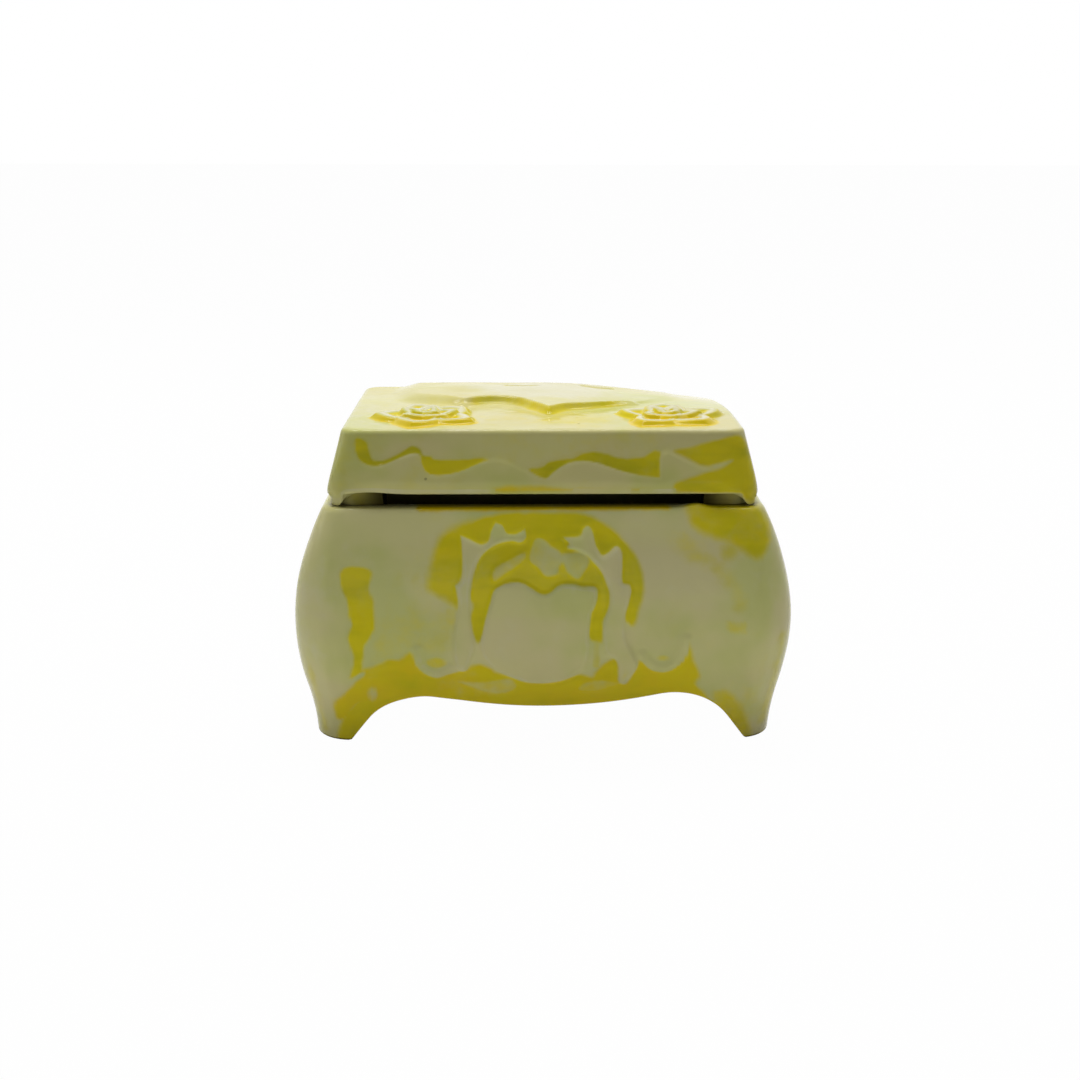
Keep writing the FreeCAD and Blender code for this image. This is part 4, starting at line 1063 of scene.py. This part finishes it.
def sideRing(z):
    def layer(core, outward):
        xy = lidRing(core, outward, lidHalf - (z - lidFoot) * lean, lidShape["corner"])
        facing = facingOf(outward[:, 1], 0.2)
        places = sidePlaces(facing, xy, z)
        fromFoot, fromTop = lidShape["waveFade"]
        fade = softStep((z - lidFoot) / fromFoot) * softStep((lidTop - z) / fromTop)
        rise = np.where(facing == 0, 0, reliefOf(lidSide, places) * fade)
        rise = rise + lidShape["wobble"] * (wobble(*xy.T, z, lidShape["wobbleWave"], 2.9) - 1)
        share, ochre = glazeOf(lidSide, places)
        share = np.where(facing == 0, lidEndGlaze(xy[:, 1], z), share)
        # a paler band along the lid's lower edge: a painted highlight where the rounded edge catches light
        pale = lidSide["paintedFootHighlight"]
        nearFootHighlight = softStep((lidFoot + pale["height"] - z) / pale["fade"])
        share = share - pale["level"] * nearFootHighlight * (share < 0.5)
        return withHeight(xy + outward * rise[:, None], z), share, ochre
    return layer


def plainRing(half, z, radius, level=0.25):
    def layer(core, outward):
        return withHeight(lidRing(core, outward, half, radius), z), np.full(len(core), level), 0.4
    return layer


def bentRing(first, bend, last, share):
    def layer(core, outward):
        start, middle, end = (ring(core, outward) for ring in (first, bend, last))
        point = start[0] * (1 - share) ** 2 + middle[0] * 2 * share * (1 - share) + end[0] * share ** 2
        return point, start[1] * (1 - share) + end[1] * share, end[2]
    return layer


mouthHalf = boxHalf - boxShape["wall"] - float(cavityInset(rimHeight))
stepHalf = mouthHalf + lidShape["keyBearing"]
tongueHalf = mouthHalf - lidShape["keyPlay"]


def keyedRing(plainHalf, plainZ, keyHalf, keyZ, radius=lidShape["keyCorner"]):
    # under the corners a ring runs on the keys, and elsewhere on the lid's plain lower edge
    def layer(core, outward):
        off = lidRing(core, outward, plainHalf, lidShape["hollowCorner"])
        atCorner = softStep(2.2 * np.abs(outward[:, 0] * outward[:, 1])) * (keyZ > rimHeight)
        on = lidRing(core, outward, keyHalf, radius) + outward * atCorner[:, None] * lidShape["keyFuller"]
        key = (np.abs(on) >= tongueHalf - lidShape["keyReach"]).all(1)
        points = withHeight(np.where(key[:, None], on, off), np.where(key, keyZ, plainZ))
        return points, np.where(key, 0.3 - 0.3 * atCorner, 0.25), 0.5
    return layer


def seatRings(hollowHalf):
    # the rings that touch the box: the lower edge, the keys' step and tongue, which get bare clay with
    # painted shade for the gap; those that lie close together keep an edge crisp
    rest = rimHeight + lidShape["slack"]
    tip = rimHeight - lidShape["keyDrop"]
    root = lidFoot + lidShape["keyRoot"]
    inner = tongueHalf - lidShape["keyWidth"]
    return [
        keyedRing(hollowHalf + 1.9, lidFoot, stepHalf + 0.25, lidFoot),
        keyedRing(hollowHalf + 1.7, lidFoot, stepHalf, lidFoot - 0.12),
        keyedRing(hollowHalf + 1.4, lidFoot, stepHalf, rest + 0.15),
        keyedRing(hollowHalf + 1.2, lidFoot, stepHalf - 0.15, rest),
        keyedRing(hollowHalf + 0.9, lidFoot, tongueHalf, rest),
        keyedRing(hollowHalf + 0.6, lidFoot, tongueHalf, tip + 0.4),
        keyedRing(hollowHalf + 0.45, lidFoot, tongueHalf - 0.3, tip + 0.1),
        keyedRing(hollowHalf + 0.3, lidFoot + 0.1, inner + 0.3, tip + 0.1, 1.5),
        keyedRing(hollowHalf + 0.1, lidFoot + 0.3, inner, tip + 0.4, 1.3),
        keyedRing(hollowHalf - 1.0 * lean, lidFoot + 1.0, inner, rimHeight, 1.3),
        keyedRing(hollowHalf - 2.0 * lean, lidFoot + 2.0, inner, root - 0.4, 1.3),
        keyedRing(hollowHalf - 3.0 * lean, lidFoot + 3.0, inner + 0.4, root, 1.5),
        keyedRing(hollowHalf - 3.6 * lean, lidFoot + 3.6, hollowHalf - 3.6 * lean, lidFoot + 3.6,
                  lidShape["hollowCorner"]),
    ]


def lidRows():
    # the rings from the top's edge down the outside, over the keys and up to the middle of the
    # hollow, and those of them that touch the box
    corner, topRound, footRound = (lidShape[label] for label in ("corner", "topRound", "footRound"))
    topLevel = lidTop - lidShape["wobble"]
    # the rounded top edge is painted pale: a painted highlight line
    topEdge = plainRing(topHalf - topRound, topLevel, corner - topRound, -0.5)
    topCorner = plainRing(topHalf, topLevel, corner, -0.5)
    heights = np.linspace(lidTop - topRound, lidFoot + footRound, lidShape["sideRows"])
    sides = [sideRing(z) for z in heights]
    # the rounded lower edge is painted pale: a painted highlight
    foot = plainRing(lidHalf - footRound, lidFoot, corner - footRound, -0.4)
    layers = [bentRing(topEdge, topCorner, sides[0], share) for share in (0.17, 0.34, 0.5, 0.67, 0.84)]
    layers += sides
    layers += [bentRing(sides[-1], sideRing(lidFoot), foot, share) for share in (0.25, 0.5, 0.75)]
    layers.append(foot)

    hollowHalf = lidHalf - lidShape["edge"]
    hollowCorner, ceilingCorner = lidShape["hollowCorner"], lidShape["ceilingCorner"]
    seat = seatRings(hollowHalf)
    ceiling = lidTop - lidShape["skin"]
    ceilingHalf = hollowHalf - (ceiling - lidFoot) * lean
    inner = ceilingHalf - lidShape["cove"]
    hollow = [plainRing(hollowHalf - (z - lidFoot) * lean, z, hollowCorner)
              for z in (lidFoot + 5.2, ceiling - lidShape["cove"])]
    ceilingEdge = plainRing(inner, ceiling, ceilingCorner)
    bend = plainRing(ceilingHalf, ceiling, hollowCorner)
    layers += seat + hollow
    layers += [bentRing(hollow[-1], bend, ceilingEdge, share) for share in (0.25, 0.5, 0.75)]
    layers.append(ceilingEdge)
    layers += [plainRing(inner * share, ceiling, ceilingCorner * share) for share in lidShape["ceilingRings"]]
    return layers, seat


def lidEndGlaze(y, z):
    # a brushed band across the lid's short sides, broken in places
    band = lidSide["endBand"]
    away = np.abs(z - wavy(y, *lidSide["endBandAt"]))
    breaks = softStep(wavy(y, *lidSide["endBandBreaks"]))
    return band["level"] * softStep((band["half"] - away) / band["soft"]) * breaks


glazeTones = {
    "cream": (0.86, 0.82, 0.37),
    "creamWarm": (0.86, 0.79, 0.40),
    "creamGreen": (0.75, 0.77, 0.27),
    "pale": (0.89, 0.85, 0.62),
    "yellow": (0.92, 0.79, 0.004),
    "olive": (0.66, 0.61, 0.003),
    "ochre": (0.95, 0.72, 0.006),
}
glazeLook = {
    "speck": (0.10, 0.07, 0.02),
    # near-black: partly bare clay, partly painted shade for the gap and the insides
    "darkClayAndShade": (0.055, 0.045, 0.008),
    "streaks": (0.35, 0.6, 1.3),            # the glaze was brushed along the box
    "warmPatches": (75, 3, 0.38, 0.62),     # scale and detail, where they start and are full
    "greenPatches": (48, 3, 0.47, 0.66),
    "olivePatches": (150, 3, 0.40, 0.66),
    "greenShare": 0.9,
    "mottle": (190, 3, 0.9),                # scale, detail and how much
    "streakBreaks": (34, 2, 0.9),
    "patchBreaks": (120, 3, 0.85),
    "fineBreaks": (420, 3, 0.45),
    "thin": (-0.1, -0.8),                   # from where to where the ground turns pale
    "pooled": (0.02, 0.92),                 # and the yellow covers it
    "mottled": (0.1, 0.9),
    "sheenPatches": (260, 2, 0.3, 0.8),
    "roughness": (0.07, 0.15),
    "bareRoughness": 0.85,
    "specular": 0.11,
    "speckCells": 150,
    "speckSize": (0.055, 0.025),
    "speckChosen": (0.84, 0.88),
    "speckShare": 0.5,
    "speckDepth": -0.5,
    "swell": (130, 2),
    "grain": (700, 2),
    "grainShare": 0.10,
    "bump": 0.0005,
    "bumpShare": 0.5,
    "soleFade": (0.6 * mm, 0.2 * mm),
}


def compute(tree, operation, *values):
    node = tree.nodes.new("ShaderNodeMath")
    node.operation = operation
    for socket, value in zip(node.inputs, values):
        if isinstance(value, (int, float)):
            socket.default_value = value
        else:
            tree.links.new(value, socket)
    return node.outputs[0]


def remap(tree, value, low, high, toLow=0.0, toHigh=1.0):
    # a soft step from one value to another
    node = tree.nodes.new("ShaderNodeMapRange")
    node.interpolation_type = "SMOOTHSTEP"
    for socket, number in zip(("From Min", "From Max", "To Min", "To Max"), (low, high, toLow, toHigh)):
        node.inputs[socket].default_value = number
    tree.links.new(value, node.inputs["Value"])
    return node.outputs["Result"]


def mix(tree, share, first, second):
    node = tree.nodes.new("ShaderNodeMix")
    node.data_type = "RGBA"
    tree.links.new(share, node.inputs["Factor"])
    for socket, colour in ((node.inputs["A"], first), (node.inputs["B"], second)):
        if isinstance(colour, tuple):
            socket.default_value = (*colour, 1)
        else:
            tree.links.new(colour, socket)
    return node.outputs["Result"]


def attribute(tree, label):
    node = tree.nodes.new("ShaderNodeAttribute")
    node.attribute_name = label
    return node.outputs["Fac"]


def noise(tree, vector, scale, detail):
    node = tree.nodes.new("ShaderNodeTexNoise")
    node.inputs["Scale"].default_value = scale
    node.inputs["Detail"].default_value = detail
    tree.links.new(vector, node.inputs["Vector"])
    return node.outputs["Fac"]


def patches(tree, vector, label, least=0.0, most=1.0):
    scale, detail, start, full = glazeLook[label]
    return remap(tree, noise(tree, vector, scale, detail), start, full, least, most)


def brokenUp(tree, value, vector, label):
    # a value with noise added, as much up as down
    scale, detail, amount = glazeLook[label]
    centred = compute(tree, "SUBTRACT", noise(tree, vector, scale, detail), 0.5)
    return compute(tree, "MULTIPLY_ADD", centred, amount, value)


def glazeColour(tree, place, streaked, tones, oliveShare):
    # cream ground, paler where it is thin, under yellow that pools and breaks at its edges
    cream = mix(tree, patches(tree, streaked, "warmPatches"), tones["cream"], tones["creamWarm"])
    green = patches(tree, place, "greenPatches", most=glazeLook["greenShare"])
    cream = mix(tree, green, cream, tones["creamGreen"])
    olive = patches(tree, streaked, "olivePatches", most=oliveShare)
    yellow = mix(tree, olive, tones["yellow"], tones["olive"])
    mottled = brokenUp(tree, attribute(tree, "ochre"), place, "mottle")
    yellow = mix(tree, remap(tree, mottled, *glazeLook["mottled"]), yellow, tones["ochre"])
    share = brokenUp(tree, attribute(tree, "glaze"), streaked, "streakBreaks")
    share = brokenUp(tree, share, place, "patchBreaks")
    share = brokenUp(tree, share, place, "fineBreaks")
    cream = mix(tree, remap(tree, share, *glazeLook["thin"]), cream, tones["pale"])
    return mix(tree, remap(tree, share, *glazeLook["pooled"]), cream, yellow)


def pinholes(tree, place):
    # small dark specks, one in a few cells only
    cells = tree.nodes.new("ShaderNodeTexVoronoi")
    cells.inputs["Scale"].default_value = glazeLook["speckCells"]
    cells.inputs["Randomness"].default_value = 1
    tree.links.new(place, cells.inputs["Vector"])
    chosen = tree.nodes.new("ShaderNodeSeparateColor")
    tree.links.new(cells.outputs["Color"], chosen.inputs[0])
    inMiddle = remap(tree, cells.outputs["Distance"], *glazeLook["speckSize"])
    return compute(tree, "MULTIPLY", inMiddle, remap(tree, chosen.outputs[0], *glazeLook["speckChosen"]))


def wipedClayAndShade(tree, place, soleHeight):
    # the soles and the places where lid and box touch are wiped down to the clay; the attribute also brings
    # the near-black clay colour as painted shade inside the box and lid and in the gap
    height = tree.nodes.new("ShaderNodeSeparateXYZ")
    tree.links.new(place, height.inputs[0])
    sole = remap(tree, height.outputs["Z"], *(soleHeight + above for above in glazeLook["soleFade"]))
    return compute(tree, "MAXIMUM", sole, attribute(tree, "clayAndShade"))


def makeGlaze(name, soleHeight, oliveShare, toneAndShade):
    material = bpy.data.materials.new(name)
    material.use_nodes = True
    tree = material.node_tree
    shader = tree.nodes["Principled BSDF"]
    place = tree.nodes.new("ShaderNodeTexCoord").outputs["Object"]
    mapping = tree.nodes.new("ShaderNodeMapping")
    mapping.inputs["Scale"].default_value = glazeLook["streaks"]
    tree.links.new(place, mapping.inputs["Vector"])
    # each piece's tones are scaled: partly its own tone, partly painted shade
    tones = {label: tuple(np.multiply(tone, toneAndShade)) for label, tone in glazeTones.items()}

    colour = glazeColour(tree, place, mapping.outputs["Vector"], tones, oliveShare)
    pinhole = pinholes(tree, place)
    specked = compute(tree, "MULTIPLY", pinhole, glazeLook["speckShare"])
    colour = mix(tree, specked, colour, glazeLook["speck"])
    # the clay colour here is partly bare clay and partly painted shade
    clayAndShade = wipedClayAndShade(tree, place, soleHeight)
    tree.links.new(mix(tree, clayAndShade, colour, glazeLook["darkClayAndShade"]), shader.inputs["Base Color"])
    sheen = patches(tree, place, "sheenPatches", *glazeLook["roughness"])
    dull = compute(tree, "MULTIPLY", clayAndShade, glazeLook["bareRoughness"])
    tree.links.new(compute(tree, "MAXIMUM", sheen, dull), shader.inputs["Roughness"])
    shader.inputs["Specular IOR Level"].default_value = glazeLook["specular"]

    swell, grain = noise(tree, place, *glazeLook["swell"]), noise(tree, place, *glazeLook["grain"])
    relief = compute(tree, "MULTIPLY_ADD", grain, glazeLook["grainShare"], swell)
    relief = compute(tree, "MULTIPLY_ADD", pinhole, glazeLook["speckDepth"], relief)
    bump = tree.nodes.new("ShaderNodeBump")
    bump.inputs["Strength"].default_value = glazeLook["bumpShare"]
    bump.inputs["Distance"].default_value = glazeLook["bump"]
    tree.links.new(relief, bump.inputs["Height"])
    tree.links.new(bump.outputs["Normal"], shader.inputs["Normal"])
    return material


stageLook = {
    "floorSize": 12.0,
    "floorHeight": -0.00005,
    "floorColour": (0.80, 0.80, 0.78),
    "floorRoughness": 0.9,
    "shown": 0.985,
    "ambient": (0.075, 0.075, 0.07),
}


def seenDirectly(tree):
    # 1 for what the camera, a reflection or glass shows, and 0 for what lights the object
    path = tree.nodes.new("ShaderNodeLightPath").outputs
    seen = compute(tree, "MAXIMUM", path["Is Camera Ray"], path["Is Glossy Ray"])
    return compute(tree, "MAXIMUM", seen, path["Is Transmission Ray"])


def makeFloor():
    bpy.ops.object.select_all(action="DESELECT")
    bpy.ops.mesh.primitive_plane_add(size=stageLook["floorSize"], location=(0, 0, stageLook["floorHeight"]))
    floor = bpy.context.object
    floor.name = "floor"
    material = bpy.data.materials.new("paleFloor")
    material.use_nodes = True
    tree = material.node_tree
    shader = tree.nodes["Principled BSDF"]
    shader.inputs["Base Color"].default_value = (*stageLook["floorColour"], 1)
    shader.inputs["Roughness"].default_value = stageLook["floorRoughness"]
    shader.inputs["Specular IOR Level"].default_value = 0.0
    white = tree.nodes.new("ShaderNodeEmission")
    mixed = tree.nodes.new("ShaderNodeMixShader")
    share = compute(tree, "MULTIPLY", seenDirectly(tree), stageLook["shown"])
    for output, socket in zip((share, shader.outputs[0], white.outputs[0]), mixed.inputs):
        tree.links.new(output, socket)
    tree.links.new(mixed.outputs[0], tree.nodes["Material Output"].inputs["Surface"])
    floor.data.materials.append(material)


def makeWorld():
    world = bpy.data.worlds.new("studio")
    bpy.context.scene.world = world
    world.use_nodes = True
    tree = world.node_tree
    colour = mix(tree, seenDirectly(tree), stageLook["ambient"], (1, 1, 1))
    tree.links.new(colour, tree.nodes["Background"].inputs["Color"])


lamps = {
    "overLeft": {"power": 1.52, "size": 0.25, "at": (-0.12, 0.20, 0.58), "towards": (0, 0, 0.03)},
    "overRight": {"power": 1.52, "size": 0.25, "at": (0.08, 0.20, 0.58), "towards": (0, 0, 0.03)},
    "leftEdge": {"power": 0.27, "size": 0.25, "at": (-0.55, 0.12, 0.25), "towards": (0, 0, 0.03)},
    "rightEdge": {"power": 0.07, "size": 0.25, "at": (0.55, 0.12, 0.25), "towards": (0, 0, 0.03)},
    "lowFront": {"power": 0.16, "size": 0.25, "at": (0.02, -0.36, 0.01), "towards": (0, 0, 0.0)},
    "spark": {"power": 0.035, "size": 0.01, "at": (-0.12, -0.22, 0.42), "towards": (0, 0, 0.04)},
}


def makeLamps():
    for name, lamp in lamps.items():
        data = bpy.data.lights.new(name, "AREA")
        data.energy = lamp["power"]
        data.size = lamp["size"]
        holder = bpy.data.objects.new(name, data)
        bpy.context.scene.collection.objects.link(holder)
        holder.location = lamp["at"]
        aim = Vector(lamp["towards"]) - holder.location
        holder.rotation_euler = aim.to_track_quat("-Z", "Y").to_euler()


view = {
    "distance": 0.254,
    "height": 0.10532,
    "tilt": 0.29012,
    "turn": -0.01627,
    "roll": 0.0020,
    "focalPixels": 1339.7,
    "centrePixels": 541.63,
    "framePixels": 1080,
    "sensor": 36.0,
}


def makeCamera():
    data = bpy.data.cameras.new("photoCamera")
    camera = bpy.data.objects.new("photoCamera", data)
    bpy.context.scene.collection.objects.link(camera)
    data.sensor_width = view["sensor"]
    data.lens = view["focalPixels"] / view["framePixels"] * view["sensor"]
    data.shift_x = (view["framePixels"] / 2 - view["centrePixels"]) / view["framePixels"]
    data.clip_start = 0.01
    data.clip_end = 20
    camera.location = (view["distance"] * math.sin(view["turn"]),
                       -view["distance"] * math.cos(view["turn"]), view["height"])
    aim = Euler((math.pi / 2 - view["tilt"], 0, view["turn"])).to_matrix()
    camera.rotation_euler = (aim @ Matrix.Rotation(view["roll"], 3, "Z")).to_euler()
    bpy.context.scene.camera = camera
    bpy.context.scene.view_settings.view_transform = "Standard"


makeCamera()
makeLamps()
makeFloor()
makeWorld()
print("stage is set")

box = makeBox()
box.data.materials.append(makeGlaze("boxGlaze", 0.0, 0.6, (1, 1, 1)))
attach(box, "box")
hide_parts("box_body")

lid = makeLid()
# the lid's glaze is darker and less blue than the box's, partly its own tone and partly painted shade
lid.data.materials.append(makeGlaze("lidGlaze", -1.0, 0.9, (0.93, 0.925, 0.80)))
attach(lid, "lid")
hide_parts("lid")
